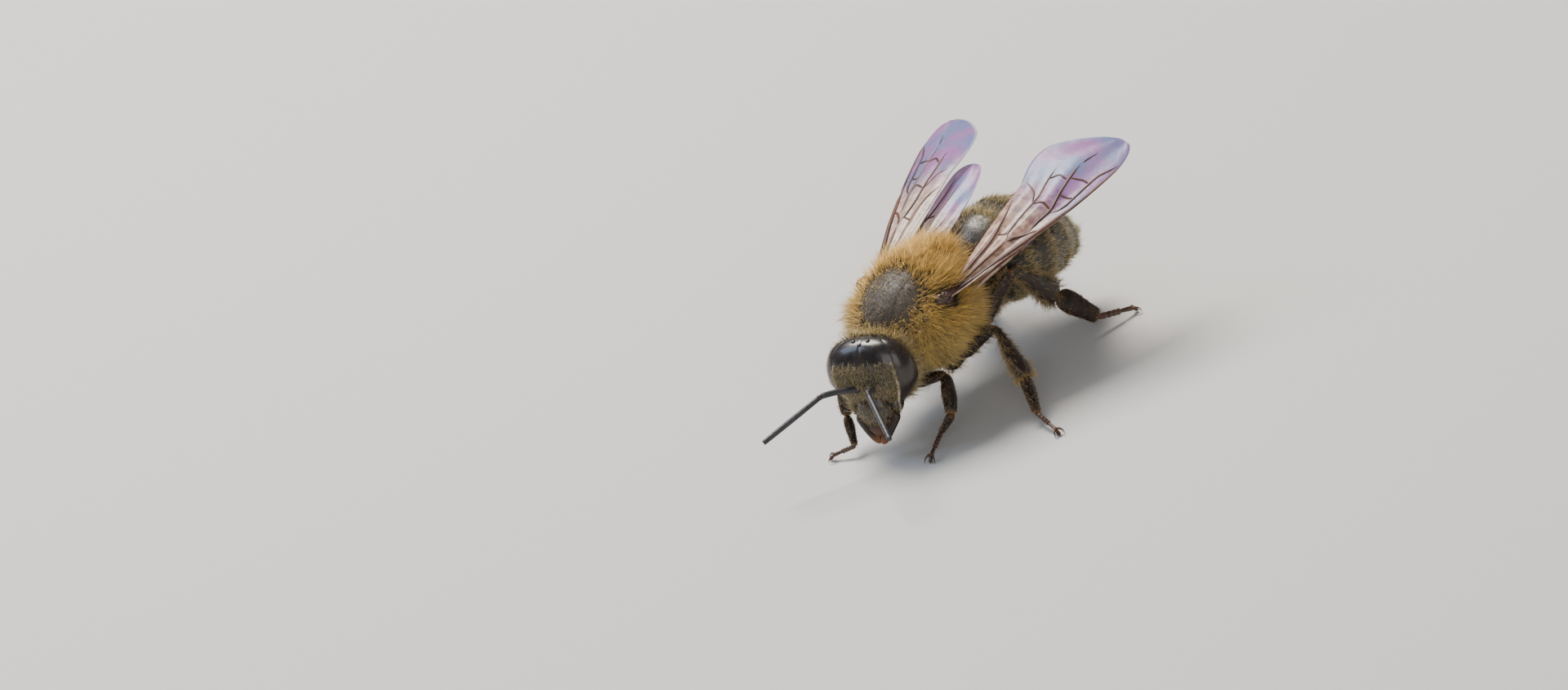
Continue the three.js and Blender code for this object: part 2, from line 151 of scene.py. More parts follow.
class Limb:
    """A long piece from one joint to the next, broadest along `broad`."""

    def __init__(self, start, end, breadth, thickness, girth, broad=(0, 0, 1), bow=(0, 0, 0)):
        self.start = np.asarray(start, float)
        self.along = np.asarray(end, float) - self.start
        self.breadth = breadth
        self.thickness = thickness
        self.girth = girth
        self.bow = np.asarray(bow, float)
        axis = unit(self.along)
        broad = np.asarray(broad, float)
        self.wide = unit(broad - axis * (broad @ axis))
        self.deep = np.cross(self.wide, axis)

    def middle(self, t):
        t = np.asarray(t, float)[..., None]
        return self.start + self.along * t + self.bow * 4 * t * (1 - t)

    def out(self, turn):
        turn = np.asarray(turn, float)[..., None]
        return unit(self.wide * np.cos(turn) / self.breadth + self.deep * np.sin(turn) / self.thickness)

    def surface(self, t, turn, swell=0.0):
        size = self.girth(np.asarray(t, float))[..., None]
        cosine = np.cos(turn)[..., None]
        sine = np.sin(turn)[..., None]
        spread = self.wide * (self.breadth * size + swell) * cosine
        return self.middle(t) + spread + self.deep * (self.thickness * size + swell) * sine

    def add(self, bm, sides, rings, ripe=0.0):
        def shape(d):
            t = (1 + d[:, 2]) / 2
            flat = np.hypot(d[:, 0], d[:, 1]) > 1e-4
            wall = self.surface(t, np.arctan2(d[:, 1], d[:, 0]))
            return np.where(flat[:, None], wall, self.middle(t))

        shades = (lambda d: ripe((1 + d[:, 2]) / 2)) if callable(ripe) else ripe
        ball(bm, sides, rings, shape, shades)


def show(mesh, material):
    mesh.materials.append(material)
    piece = bpy.data.objects.new(mesh.name, mesh)
    bpy.context.scene.collection.objects.link(piece)
    return piece


def wear(mesh, material):
    """Smooths a finished mesh and puts it on her only body."""
    mesh.shade_smooth()
    piece = show(mesh, material)
    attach(piece, "root")
    return piece


def settle(name, bm, material, replaced=()):
    """Makes a finished piece of a shape in her millimetres, in its place."""
    bmesh.ops.recalc_face_normals(bm, faces=bm.faces)
    mesh = bpy.data.meshes.new(name)
    bm.to_mesh(mesh)
    bm.free()
    mesh.transform(PLACE)
    piece = wear(mesh, material)
    if replaced:
        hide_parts(*replaced)
    return piece


def from_bald(d):
    """Degrees from the middle of the bare disc, which is wider across than along."""
    side = np.hypot(d[:, 0] * BALD_WIDENING, d @ BALD_ALONG)
    return np.degrees(np.arctan2(side, d @ BALD_AXIS))


def thorax_surface(d):
    x, y, z = d.T
    flank = 1 - 0.1 * smooth(-z)
    rear = 1 - 0.08 * smooth(y) * smooth(0.4 - z)
    low = mix(0.94, 1, smooth((z + 1) / 1.2))
    # the seam across the back in front of the scutellum, and the two faint lines along the disc
    seam = 0.035 * np.exp(-((y - 0.52 + 0.22 * x * x) / 0.03) ** 2) * smooth(z * 2)
    ridge = 0.012 * np.exp(-((np.abs(x) - 0.36) / 0.03) ** 2) * smooth(z * 2)
    median = 0.01 * np.exp(-(x / 0.025) ** 2) * smooth(z * 2)
    size = (low - seam - ridge - median)[:, None]
    scale = np.stack([THORAX[0] * flank, THORAX[1] * rear, np.full(len(d), THORAX[2])], axis=1)
    return d * scale * size


def scutellum_surface(d):
    x, y, z = d.T
    back = 1.5 - 0.32 * x * x
    return np.stack([x * 1.05, back + y * 0.62, 1.5 - 0.22 * x * x + z * 0.42], axis=1)


shape = new_shape()
ball(shape, 112, 80, thorax_surface)
ball(shape, 56, 32, scutellum_surface)
for side in SIDES.values():
    # the collar's lobe in front of each wing, and the rounded plates of the flank
    ball(shape, 20, 14, lambda d: d * (0.26, 0.34, 0.22) + (side * 1.5, -1.0, 0.55))
    ball(shape, 24, 18, lambda d: d * (0.3, 0.62, 0.7) + (side * 1.38, -0.35, -0.75))
    ball(shape, 24, 18, lambda d: d * (0.3, 0.5, 0.62) + (side * 1.3, 0.75, -0.6))
# the ridged neck, and the narrow waist
head_middle = np.mean(node_box("head"), axis=0)
Limb((0, -1.2, -0.7), head_middle + (0, 0.35, 0.1), 0.45, 0.42,
     lambda t: 0.8 + 0.2 * np.cos(12 * t), broad=(1, 0, 0)).add(shape, 24, 20)
Limb((0, 1.35, -0.4), (0, 2.75, -0.15), 0.5, 0.42,
     lambda t: 1 - 0.35 * np.sin(pi * t), broad=(1, 0, 0)).add(shape, 24, 16)


# Every finish is a node tree on the object's own coordinates, and two groups hold what several
# finishes share: the grain of insect shell, and the markings of the coat and its skin.
def feed(tree, node, inputs):
    """Links an input to another node's output, or sets it on its own socket where it is constant."""
    for key, value in inputs.items():
        if isinstance(value, bpy.types.NodeSocket):
            tree.links.new(value, node.inputs[key])
        else:
            node.inputs[key].default_value = value


def wire(tree, kind, inputs, **settings):
    node = tree.nodes.new(kind)
    for key, value in settings.items():
        setattr(node, key, value)
    feed(tree, node, inputs)
    return node


def blend_colour(tree, share, first, second):
    """Colours are given as red, green and blue, or as another node's output."""
    first, second = (c if isinstance(c, bpy.types.NodeSocket) else (*c, 1) for c in (first, second))
    return wire(tree, "ShaderNodeMix", {0: share, 6: first, 7: second}, data_type="RGBA").outputs[2]


def reckon(tree, operation, first, second, clamped=False):
    return wire(tree, "ShaderNodeMath", {0: first, 1: second}, operation=operation,
                use_clamp=clamped).outputs[0]


def ramp(tree, value, low, high, to_low=0.0, to_high=1.0):
    """A value from low to high becomes one from to_low to to_high, smoothly."""
    return wire(tree, "ShaderNodeMapRange", {0: value, 1: low, 2: high, 3: to_low, 4: to_high},
                interpolation_type="SMOOTHSTEP").outputs[0]


def millimetres(tree):
    """The object's own coordinates in millimetres round the middle of the thorax."""
    where = wire(tree, "ShaderNodeTexCoord", {}).outputs["Object"]
    return wire(tree, "ShaderNodeMapping", {0: where, "Location": MIDDLE, "Scale": (MM, MM, MM)},
                vector_type="TEXTURE").outputs[0]


def noise(tree, place, scale, detail, roughness=0.5):
    return wire(tree, "ShaderNodeTexNoise", {
        "Vector": place, "Scale": scale, "Detail": detail, "Roughness": roughness}).outputs[0]


def emboss(tree, surface, height, strength, depth):
    """Raises the finish by up to depth millimetres where height says so."""
    relief = wire(tree, "ShaderNodeBump", {"Height": height, "Strength": strength, "Distance": depth * MM})
    tree.links.new(relief.outputs[0], surface.inputs["Normal"])


def new_group(name, inputs, outputs):
    group = bpy.data.node_groups.new(name, "ShaderNodeTree")
    for label, kind, value in inputs:
        socket = group.interface.new_socket(label, in_out="INPUT", socket_type=kind)
        socket.default_value = value
    for label, kind in outputs:
        group.interface.new_socket(label, in_out="OUTPUT", socket_type=kind)
    return group, group.nodes.new("NodeGroupInput"), group.nodes.new("NodeGroupOutput")


def shell_grain():
    """The fine pits, wrinkles and cloudy tone of insect shell."""
    inputs = [("Pits per mm", "NodeSocketFloat", 20.0), ("Pit depth", "NodeSocketFloat", 0.5),
              ("Clouds per mm", "NodeSocketFloat", 2.0)]
    group, given, made = new_group(
        "shell_grain", inputs, [("Tone", "NodeSocketFloat"), ("Height", "NodeSocketFloat")])
    pits_per_mm, pit_depth, clouds_per_mm = given.outputs[:3]
    place = millimetres(group)
    pits = wire(group, "ShaderNodeTexVoronoi", {"Vector": place, "Scale": pits_per_mm})
    clouds = noise(group, place, clouds_per_mm, 6.0, 0.6)
    grit = noise(group, place, reckon(group, "MULTIPLY", pits_per_mm, 1.7), 3.0)
    pit = ramp(group, pits.outputs["Distance"], 0.0, 0.55)
    sunk = reckon(group, "MULTIPLY", pit, pit_depth)
    height = reckon(group, "ADD", sunk, reckon(group, "MULTIPLY", grit, 0.35))
    feed(group, made, {"Tone": ramp(group, clouds, 0.3, 0.7), "Height": height})
    return group


def coat_markings():
    """How golden the coat and the skin under it are at each place, from pale tan to orange gold."""
    group, given, made = new_group(
        "coat_markings", [("Patch size mm", "NodeSocketFloat", 1.4)], [("Gold", "NodeSocketFloat")])
    place = millimetres(group)
    parts = wire(group, "ShaderNodeSeparateXYZ", {0: place})
    high = ramp(group, parts.outputs["Z"], -1.2, 1.8)
    rear = ramp(group, parts.outputs["Y"], -1.8, 1.2)
    ends = ramp(group, parts.outputs["Y"], 2.4, 3.6, 1.0, 0.25)
    front = ramp(group, parts.outputs["Y"], -2.4, -1.9)
    patches = noise(group, place, reckon(group, "DIVIDE", 1.0, given.outputs[0]), 2.0)
    patchy = reckon(group, "MULTIPLY", reckon(group, "SUBTRACT", patches, 0.5), 0.7)
    gold = reckon(group, "ADD", reckon(group, "MULTIPLY", high, 0.62), reckon(group, "MULTIPLY", rear, 0.3))
    gold = reckon(group, "ADD", gold, patchy, clamped=True)
    gold = reckon(group, "MULTIPLY", reckon(group, "MULTIPLY", gold, ends), front)
    feed(group, made, {"Gold": gold})
    return group


def new_material(name):
    material = bpy.data.materials.new(name)
    material.use_nodes = True
    tree = material.node_tree
    return material, tree, tree.nodes["Principled BSDF"]


SHELL_GRAIN = shell_grain()
COAT_MARKINGS = coat_markings()
MARKING_SIZE = 1.1


def grain_of(tree, pits, depth, clouds):
    values = {"Pits per mm": pits, "Pit depth": depth, "Clouds per mm": clouds}
    node = wire(tree, "ShaderNodeGroup", values, node_tree=SHELL_GRAIN)
    return node.outputs["Tone"], node.outputs["Height"]


def gold_of(tree):
    return wire(tree, "ShaderNodeGroup", {"Patch size mm": MARKING_SIZE}, node_tree=COAT_MARKINGS).outputs[0]


def skin_finish():
    """Grey-black shell with the coat's gold showing in it, and a faint blue bloom on the disc."""
    material, tree, surface = new_material("thorax_skin_finish")
    tone, height = grain_of(tree, 26.0, 0.5, 2.2)
    bare = blend_colour(tree, tone, (0.03, 0.022, 0.014), (0.078, 0.06, 0.041))
    furred = blend_colour(tree, gold_of(tree), (0.055, 0.037, 0.015), (0.12, 0.07, 0.02))
    way = wire(tree, "ShaderNodeVectorMath", {0: millimetres(tree)}, operation="NORMALIZE").outputs[0]
    nearness = wire(tree, "ShaderNodeVectorMath", {0: way, 1: BALD_AXIS}, operation="DOT_PRODUCT")
    disc = ramp(tree, nearness.outputs["Value"], cos(radians(60)), cos(radians(42)))
    feed(tree, surface, {
        "Base Color": blend_colour(tree, disc, furred, bare),
        "Roughness": ramp(tree, tone, 0, 1, 0.38, 0.55),
        "Sheen Weight": 0.06,
        "Sheen Tint": (0.6, 0.72, 1.0, 1),
    })
    emboss(tree, surface, height, 0.8, 0.02)
    return material


thorax_skin = settle("thorax_skin", shape, skin_finish(),
                     ["thorax", "scutellum", "neck", "petiole"])

# ------------------------------------------------------------------ head
# A rounded triangle from the front, domed before and hollow behind: a glossy dark crown, a hairy
# face, and at its foot the shield of the clypeus. It is one hard capsule, with the seams pressed in.
HEAD_TURN = {"yaw": 18.5, "pitch": 3.0, "roll": 2.5}
HEAD_HALF = (1.66, 0.9, 1.6)
EYE_MIDDLE = (0, 0.02, 0.08)
# each eye is a patch of the capsule: where it is centred, how far it reaches, how far it bulges
EYE = {"forward": radians(4.5), "up": radians(5), "across": radians(38.5), "along": radians(60),
       "bulge": 0.06, "depth": 0.36}
SOCKET = (0.32, -0.98, -0.12)

head_turn = (
    Matrix.Rotation(radians(HEAD_TURN["yaw"]), 3, "Z")
    @ Matrix.Rotation(radians(-HEAD_TURN["pitch"]), 3, "X")
    @ Matrix.Rotation(radians(-HEAD_TURN["roll"]), 3, "Y")
)
HEAD_AXES = np.array(head_turn)
eye_corners = [node_box(f"eye_{side_name}") for side_name in SIDES]
HEAD_PLACE = np.mean(eye_corners, axis=(0, 1)) - HEAD_AXES @ np.array(EYE_MIDDLE)


def capped(t, cap):
    return np.sqrt(np.clip(1 - (1 - np.clip(np.minimum(t, 1 - t) / cap, 0, 1)) ** 2, 0, 1))


def strand(bm, path, radius, sides=6, rings=10, flat=1.0, up=(0, 0, 1), ripe=0.0):
    """Adds a thin closed rod along a path of points. radius is one number, or one at each point."""
    path = np.asarray(path, float)
    steps = np.concatenate([[0], np.cumsum(np.linalg.norm(np.diff(path, axis=0), axis=1))])
    stations = steps / steps[-1]
    sizes = np.broadcast_to(radius, len(path))

    def point(t):
        return np.stack([np.interp(t, stations, path[:, i]) for i in range(3)], axis=-1)

    def shape(d):
        t = np.arccos(np.clip(-d[:, 2], -1, 1)) / pi
        ahead = unit(point(np.minimum(t + 0.04, 1)) - point(np.maximum(t - 0.04, 0)))
        side = unit(np.cross(np.broadcast_to(up, ahead.shape), ahead))
        over = np.cross(ahead, side)
        ring = np.hypot(d[:, 0], d[:, 1])
        size = np.interp(t, stations, sizes) * np.minimum(1, ring / 0.45)
        turn = np.arctan2(d[:, 1], d[:, 0])
        wide = side * (np.cos(turn) * size)[:, None]
        return point(t) + wide + over * (np.sin(turn) * size * flat)[:, None]

    ball(bm, sides, rings, shape, ripe)


def on_head(points):
    return np.asarray(points, float) @ HEAD_AXES.T + HEAD_PLACE


def off_head(points):
    return (np.asarray(points, float) - HEAD_PLACE) @ HEAD_AXES


def bump_at(points, centre, size, depth):
    """A round rise or hollow, smooth at its edge."""
    away = np.linalg.norm((points - np.array(centre)) / np.array(size), axis=1)
    return depth * np.exp(-(away ** 2))


def head_narrowing(z):
    return mix(1, 0.58, smooth(-z * 0.95 + 0.02))


def head_local(d):
    # fuller than an egg above the jaws
    power = mix(2.0, 2.4, smooth((d[:, 2] + 0.35) * 1.6))[:, None]
    d = d / (np.abs(d) ** power).sum(1, keepdims=True) ** (1 / power)
    x, y, z = d.T
    narrow = head_narrowing(z)
    crown = 1 - 0.05 * np.clip(z, 0, 1) * (1 - x * x)
    behind = np.where(y > 0, 0.72, 1)
    chin = 1 - 0.12 * smooth(-z)
    p = np.stack([x * HEAD_HALF[0] * narrow, y * HEAD_HALF[1] * behind * chin,
                  z * HEAD_HALF[2] * crown], axis=1)
    # the swelling between the feelers, their sockets and the hollows above them
    rise = bump_at(p, (0, -0.8, -0.3), (0.3, 0.5, 0.3), 0.08)
    for side in SIDES.values():
        rise += bump_at(p, (side * SOCKET[0], -0.8, SOCKET[2]), (0.24, 0.5, 0.24), 0.07)
        rise -= bump_at(p, (side * SOCKET[0], -0.8, SOCKET[2]), (0.12, 0.5, 0.12), 0.16)
        rise -= bump_at(p, (side * 0.34, -0.8, 0.35), (0.2, 0.5, 0.4), 0.05)
    # the line up the middle of the brow, and the seam round the clypeus
    rise -= 0.03 * np.exp(-(p[:, 0] / 0.03) ** 2) * smooth((p[:, 2] - 0.2) * 3)
    across = np.hypot(p[:, 0] / 0.8, (p[:, 2] + 1.0) / 0.66)
    rise -= 0.04 * np.exp(-((across - 1) / 0.06) ** 2)
    p[:, 1] -= rise * (y < 0)
    return p


def eye_taper(rise):
    """The eye is narrower towards the jaws."""
    return mix(1, 0.8, smooth(-rise))


def eye_local(d, side):
    """The outer half of a ball becomes the dome, and the inner half the sunk back of the eye."""
    rise = EYE["up"] + EYE["along"] * d[:, 2]
    turn = EYE["forward"] + EYE["across"] * eye_taper(d[:, 2]) * d[:, 1]
    ways = np.stack([side * np.cos(turn) * np.cos(rise), -np.sin(turn) * np.cos(rise), np.sin(rise)],
                    axis=1)
    out = d[:, 0]
    raised = np.where(out > 0, EYE["bulge"] * np.abs(out) ** 1.3, EYE["depth"] * out)
    return head_local(ways) * (1 + raised)[:, None]


def eye_reach(points):
    """Where a point of the head lies round the nearer eye: 0 at its middle, 1 at its margin."""
    z = points[:, 2] / HEAD_HALF[2]
    x = np.abs(points[:, 0]) / (HEAD_HALF[0] * head_narrowing(z))
    y = points[:, 1] / HEAD_HALF[1]
    rise = (np.arctan2(z, np.hypot(x, y)) - EYE["up"]) / EYE["along"]
    turn = (np.arctan2(-y, x) - EYE["forward"]) / (EYE["across"] * eye_taper(rise))
    return np.hypot(rise, turn)


def clypeus_local(d):
    x, y, z = d.T
    broad = mix(0.78, 1, smooth(0.5 - 0.5 * z))
    return np.stack([x * 0.76 * broad, -0.6 + y * 0.4, -1.02 + z * 0.66], axis=1)


def head_ripe(d):
    return 0.25 * smooth((-d[:, 2] - 0.55) * 3)


shape = new_shape()
ball(shape, 120, 96, lambda d: on_head(head_local(d)), head_ripe)
ball(shape, 48, 32, lambda d: on_head(clypeus_local(d)))
for side in SIDES.values():
    # the raised ring round each feeler's socket, and the cheek between eye and jaw
    ring = [on_head([side * SOCKET[0] + 0.15 * cos(a), -0.84, SOCKET[2] + 0.15 * sin(a)])
            for a in np.linspace(0, 2 * pi, 17)]
    strand(shape, ring, 0.035, 6, 32)
    Limb(on_head([side * 0.8, -0.1, -0.8]), on_head([side * 0.66, -0.42, -1.32]), 0.3, 0.25,
         lambda t: 0.3 + 0.7 * capped(t, 0.45)).add(shape, 20, 14)
def attribute(tree, name):
    return wire(tree, "ShaderNodeAttribute", {}, attribute_name=name).outputs["Fac"]


def shell(name, dark, light, ripe, rough=(0.28, 0.45), pits=22.0, depth=0.5, bump=0.012,
          gloss=0.0, shine=0.5):
    """Hard shell: two tones in clouds, redder or paler where the attribute 'ripe' says so."""
    material, tree, surface = new_material(name)
    tone, height = grain_of(tree, pits, depth, 2.0)
    colour = blend_colour(tree, tone, dark, light)
    feed(tree, surface, {
        "Base Color": blend_colour(tree, attribute(tree, "ripe"), colour, ripe),
        "Roughness": ramp(tree, tone, 0.0, 1.0, *rough),
        "Specular IOR Level": shine,
        "Coat Weight": gloss,
        "Coat Roughness": 0.12,
    })
    emboss(tree, surface, height, 0.6, bump)
    return material


head_finish = shell("head_shell_finish", (0.007, 0.005, 0.005), (0.022, 0.014, 0.011),
                    (0.05, 0.022, 0.01), rough=(0.24, 0.36), pits=30, depth=0.3, bump=0.006, gloss=0.35)
head_shell = settle("head_shell", shape, head_finish, ["head", "clypeus"])


# ------------------------------------------------------------------ eyes
# Compound eyes are dark, glossy domes of some five thousand tiny lenses, let into the sides of the
# head. Three single lenses stand in a triangle on the crown.
def eye_finish():
    material, tree, surface = new_material("eye_finish")
    place = millimetres(tree)
    lenses = wire(tree, "ShaderNodeTexVoronoi", {"Vector": place, "Scale": 36.0, "Randomness": 0.25})
    clouds = noise(tree, place, 1.6, 3.0)
    feed(tree, surface, {
        "Base Color": blend_colour(tree, clouds, (0.006, 0.004, 0.004), (0.028, 0.012, 0.008)),
        "Roughness": 0.3,
        "Coat Weight": 0.3,
        "Coat Roughness": 0.16,
    })
    emboss(tree, surface, ramp(tree, lenses.outputs["Distance"], 0.0, 0.6, 1.0, 0.0), 0.25, 0.005)
    return material


EYE_FINISH = eye_finish()
for side_name, side in SIDES.items():
    shape = new_shape()
    ball(shape, 64, 56, lambda d: on_head(eye_local(d, side)))
    settle(f"eye_{side_name}_dome", shape, EYE_FINISH, [f"eye_{side_name}"])

shape = new_shape()
for way in [(0, -0.5, 1), (0.2, -0.3, 1.1), (-0.2, -0.3, 1.1)]:
    seat = head_local(unit([way]))[0]
    ball(shape, 20, 14, lambda d: on_head(d * (0.085, 0.085, 0.06) + seat))
settle("ocelli", shape, EYE_FINISH)

# ------------------------------------------------------------------ mouthparts
# The lip hangs from the clypeus, the two jaws meet in front of it, and the tongue's sheath is
# folded away behind them. They are thinner, redder shell.
MOUTH_FINISH = shell("mouthparts_finish", (0.01, 0.006, 0.004), (0.032, 0.015, 0.008),
                     (0.19, 0.06, 0.014), rough=(0.24, 0.38), pits=26, gloss=0.1, shine=0.3)


def labrum_local(d):
    tongue = 1 - 0.15 * smooth(-d[:, 2])
    return np.stack([d[:, 0] * 0.44 * tongue, -0.7 + d[:, 1] * 0.15, -1.8 + d[:, 2] * 0.36], axis=1)


def jaw_girth(t):
    return (0.2 + 0.8 * capped(t, 0.2)) * mix(1, 0.46, t) * (1 - 0.1 * np.sin(pi * t))


shape = new_shape()
ball(shape, 32, 20, lambda d: on_head(labrum_local(d)), lambda d: 0.35 * smooth(0.6 - d[:, 2]))
settle("labrum_plate", shape, MOUTH_FINISH, ["labrum"])
for side_name, side in SIDES.items():
    shape = new_shape()
    jaw = Limb(on_head([side * 0.7, -0.46, -1.2]), on_head([side * 0.05, -0.82 - 0.04 * side, -2.36]),
               0.34, 0.19, jaw_girth, broad=HEAD_AXES[:, 0],
               bow=side * 0.07 * HEAD_AXES[:, 0] - 0.05 * HEAD_AXES[:, 1])
    jaw.add(shape, 28, 26, lambda t: 0.85 * smooth((t - 0.62) * 2.8))
    settle(f"jaw_{side_name}", shape, MOUTH_FINISH, [f"mandible_{side_name}"])
shape = new_shape()
for side in (-1, 0, 1):
    Limb(on_head([side * 0.13, -0.2, -1.3]), on_head([side * 0.09, -0.48 + 0.05 * abs(side), -2.4]),
         0.1, 0.12, lambda t: mix(1, 0.35, t) * capped(t, 0.12) + 0.02,
         broad=(1, 0, 0)).add(shape, 12, 20, lambda t: 0.3 + 0.5 * t)
settle("tongue_sheath", shape, MOUTH_FINISH, ["proboscis"])


# ------------------------------------------------------------------ feelers
# A long first segment from the socket, a small pivot, and a lash of ten short rings. They are
# matt black, clouded with a faint blue-grey.
FEELER_FINISH = shell("feeler_finish", (0.01, 0.01, 0.012), (0.034, 0.035, 0.042),
                      (0.07, 0.03, 0.016), rough=(0.38, 0.5), pits=45, depth=0.5, bump=0.006)


def node_points(name):
    """A solid's vertices in her millimetres."""
    return np.array([UNPLACE @ v.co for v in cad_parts[name].data.vertices])


def ends(name):
    """The two ends of a long solid, from its own longest axis."""
    points = node_points(name)
    centre = (points.max(0) + points.min(0)) / 2
    axis = np.linalg.svd(points - points.mean(0), full_matrices=False)[2][0]
    reach = (points - centre) @ axis
    return centre + axis * reach.min(), centre + axis * reach.max()


def joint(first, second):
    """Where two neighbouring solids meet: halfway between their nearest ends."""
    pairs = [(np.linalg.norm(a - b), (a + b) / 2) for a in ends(first) for b in ends(second)]
    return min(pairs, key=lambda pair: pair[0])[1]


def far_end(name, point):
    return max(ends(name), key=lambda end: np.linalg.norm(end - point))


def scape_girth(t):
    return capped(t, 0.06) * mix(0.85, 1, smooth(t * 2))


SCAPE_RADIUS = 0.115
PIVOT_RADIUS = 0.112
LASH_RINGS = 10
# where the pivot and the first ring of the lash lie, as shares of the way from the elbow to its tip
PIVOT_PLACE = 0.028
LASH_START = 0.055
for side_name, side in SIDES.items():
    scape_node = f"antenna_{side_name}_scape"
    lash_node = f"antenna_{side_name}_flagellum"
    elbow = joint(scape_node, lash_node)
    lash = far_end(lash_node, elbow) - elbow
    socket = on_head([side * SOCKET[0], -0.86, SOCKET[2]])
    pivot = elbow + lash * PIVOT_PLACE
    shape = new_shape()
    ball(shape, 16, 12, lambda d: d * 0.1 + socket, 0.5)
    Limb(socket, elbow + unit(elbow - socket) * 0.03, SCAPE_RADIUS, SCAPE_RADIUS, scape_girth,
         bow=(0, 0, 0.05)).add(shape, 16, 22, lambda t: 0.35 * smooth((t - 0.85) * 7))
    ball(shape, 16, 12, lambda d: d * PIVOT_RADIUS + pivot, 0.3)
    for ring in range(LASH_RINGS):
        start, stop = (mix(LASH_START, 1, (ring + i) / LASH_RINGS) for i in (0, 1))
        radius = 0.096 + 0.012 * sin(pi * (ring + 1) / (LASH_RINGS + 1))
        rounding = 0.3 if ring < LASH_RINGS - 1 else 0.9
        Limb(elbow + lash * (start - 0.004), elbow + lash * (stop + 0.004), radius, radius,
             lambda t: 0.95 * capped(t, 0.02) + 0.05 * capped(t, rounding)).add(shape, 16, 12)
    settle(f"feeler_{side_name}", shape, FEELER_FINISH, [scape_node, lash_node])

# ------------------------------------------------------------------ tegulae
# A smooth dark scale covers each wing's hinge. Under its rear edge show the knobs of the hinge and
# the stalk that carries the wing's root.
HINGE_FINISH = shell("tegula_finish", (0.018, 0.01, 0.011), (0.05, 0.026, 0.024), (0.13, 0.055, 0.04),
                     rough=(0.3, 0.45), depth=0.8, bump=0.02, gloss=0.1)
HINGE = (1.85, 0.15, 1.03)
# share of the way from the scale to the wing's root, offset and size of each knob
HINGE_KNOBS = [
    (0.5, (0.14, 0.0, 0.12), 0.13), (0.78, (0.06, 0.05, -0.12), 0.13), (0.95, (0.12, 0.0, 0.1), 0.11),
    (1.05, (0.02, 0.12, -0.06), 0.13), (0.35, (0.1, 0.05, -0.18), 0.11), (0.72, (-0.08, 0.1, 0.18), 0.1),
]
hinge_spans = []
for side_name, side in SIDES.items():
    low, high = node_box(f"tegula_{side_name}")
    centre = (low + high) / 2
    half = (high - low) / 2

    def scale_shape(d):
        hollow = 1 - 0.25 * np.exp(-((d[:, 1] - 0.15) / 0.2) ** 2) * smooth(d[:, 2] * 2)
        return centre + d * half * np.stack([0.6 * hollow, 0.72 + 0 * hollow, 0.6 * hollow], axis=1)

    shape = new_shape()
    ball(shape, 32, 24, scale_shape, lambda d: 0.35 * smooth(d[:, 1]))
    root = np.array([side * HINGE[0], HINGE[1], HINGE[2]])
    hinge_spans.append((centre, root))
    for share, way, size in HINGE_KNOBS:
        knob = mix(centre, root, share) + np.array([side * way[0], way[1], way[2]])
        ball(shape, 16, 12, lambda d: knob + d * np.array([0.85, 1.15, 0.9]) * size, 0.25)
    stalk = Limb(root - (side * 0.12, 0.1, 0.02), root + (side * 0.04, 0.5, 0.1), 0.15, 0.1,
                 lambda t: capped(t, 0.3) * mix(1, 0.5, t), broad=(1, 0, 0.3))
    stalk.add(shape, 12, 12, lambda t: 0.2 + 0.6 * t)
    settle(f"tegula_{side_name}_scale", shape, HINGE_FINISH, [f"tegula_{side_name}"])

# ------------------------------------------------------------------ abdomen
# Six rings, each a back plate and a belly plate that lap over the next ring like roof tiles. The
# plates are dark and shining, and thin out to a browner rim at the rear edge.
ABDOMEN = {"start": 2.3, "length": 6.25, "half_width": 2.0, "half_height": 1.86}
RING_EDGES = (0, 0.13, 0.33, 0.52, 0.69, 0.84, 1)
WIDEST = 0.42
BELLY_LINE = radians(-28)
PLATE_LIP = 0.86


def abdomen_height(s):
    return -0.2 + 1.7 * s - 2.65 * s * s


def abdomen_axis(points):
    """The points of the abdomen's curved middle line level with these."""
    s = (points[:, 1] - ABDOMEN["start"]) / ABDOMEN["length"]
    return np.stack([0 * s, points[:, 1], abdomen_height(s)], axis=1)


def abdomen_girth(s):
    s = np.clip(s, 0, 1)
    front = np.clip(1 - np.clip((WIDEST - s) / WIDEST, 0, 1) ** 2.6, 0, 1) ** 0.5
    rear = np.clip(1 - np.clip((s - WIDEST) / (1 - WIDEST), 0, 1) ** 2, 0, 1) ** 0.72
    return np.where(s < WIDEST, front, rear)


def ring_surface(index, t, turn):
    """A point of ring number index: t runs from under the ring before it to its own rear edge."""
    s = mix(RING_EDGES[index] - 0.02, RING_EDGES[index + 1], t)
    size = abdomen_girth(s)
    if index < len(RING_EDGES) - 2:
        size = size * mix(0.965, 1.022, smooth(t))
    # the groove on each side where the back plate laps over the belly plate
    for line in (BELLY_LINE, pi - BELLY_LINE):
        size = size * (1 - 0.03 * smooth((np.cos(turn - line) - 0.985) * 60))
    belly = mix(1, 0.93, smooth(-np.sin(turn)))
    return np.stack([
        np.cos(turn) * ABDOMEN["half_width"] * size,
        ABDOMEN["start"] + s * ABDOMEN["length"] + 0 * turn,
        abdomen_height(s) + np.sin(turn) * ABDOMEN["half_height"] * size * belly,
    ], axis=-1)


def rearwards(d):
    """How far back a direction of the ball lies, from 0 at its front pole to 1 at its rear one."""
    return np.arccos(np.clip(-d[:, 2], -1, 1)) / pi


def plate_place(index, d):
    down = rearwards(d)
    wall = ring_surface(index, np.clip(down / PLATE_LIP, 0, 1), np.arctan2(d[:, 1], d[:, 0]))
    axis = abdomen_axis(wall)
    # behind the rear edge the plate turns in to close under the next ring
    inwards = np.clip((down - PLATE_LIP) / (1 - PLATE_LIP), 0, 1)
    closing = np.clip(down / 0.05, 0, 1) * (1 - inwards)
    return axis + (wall - axis) * closing[:, None]


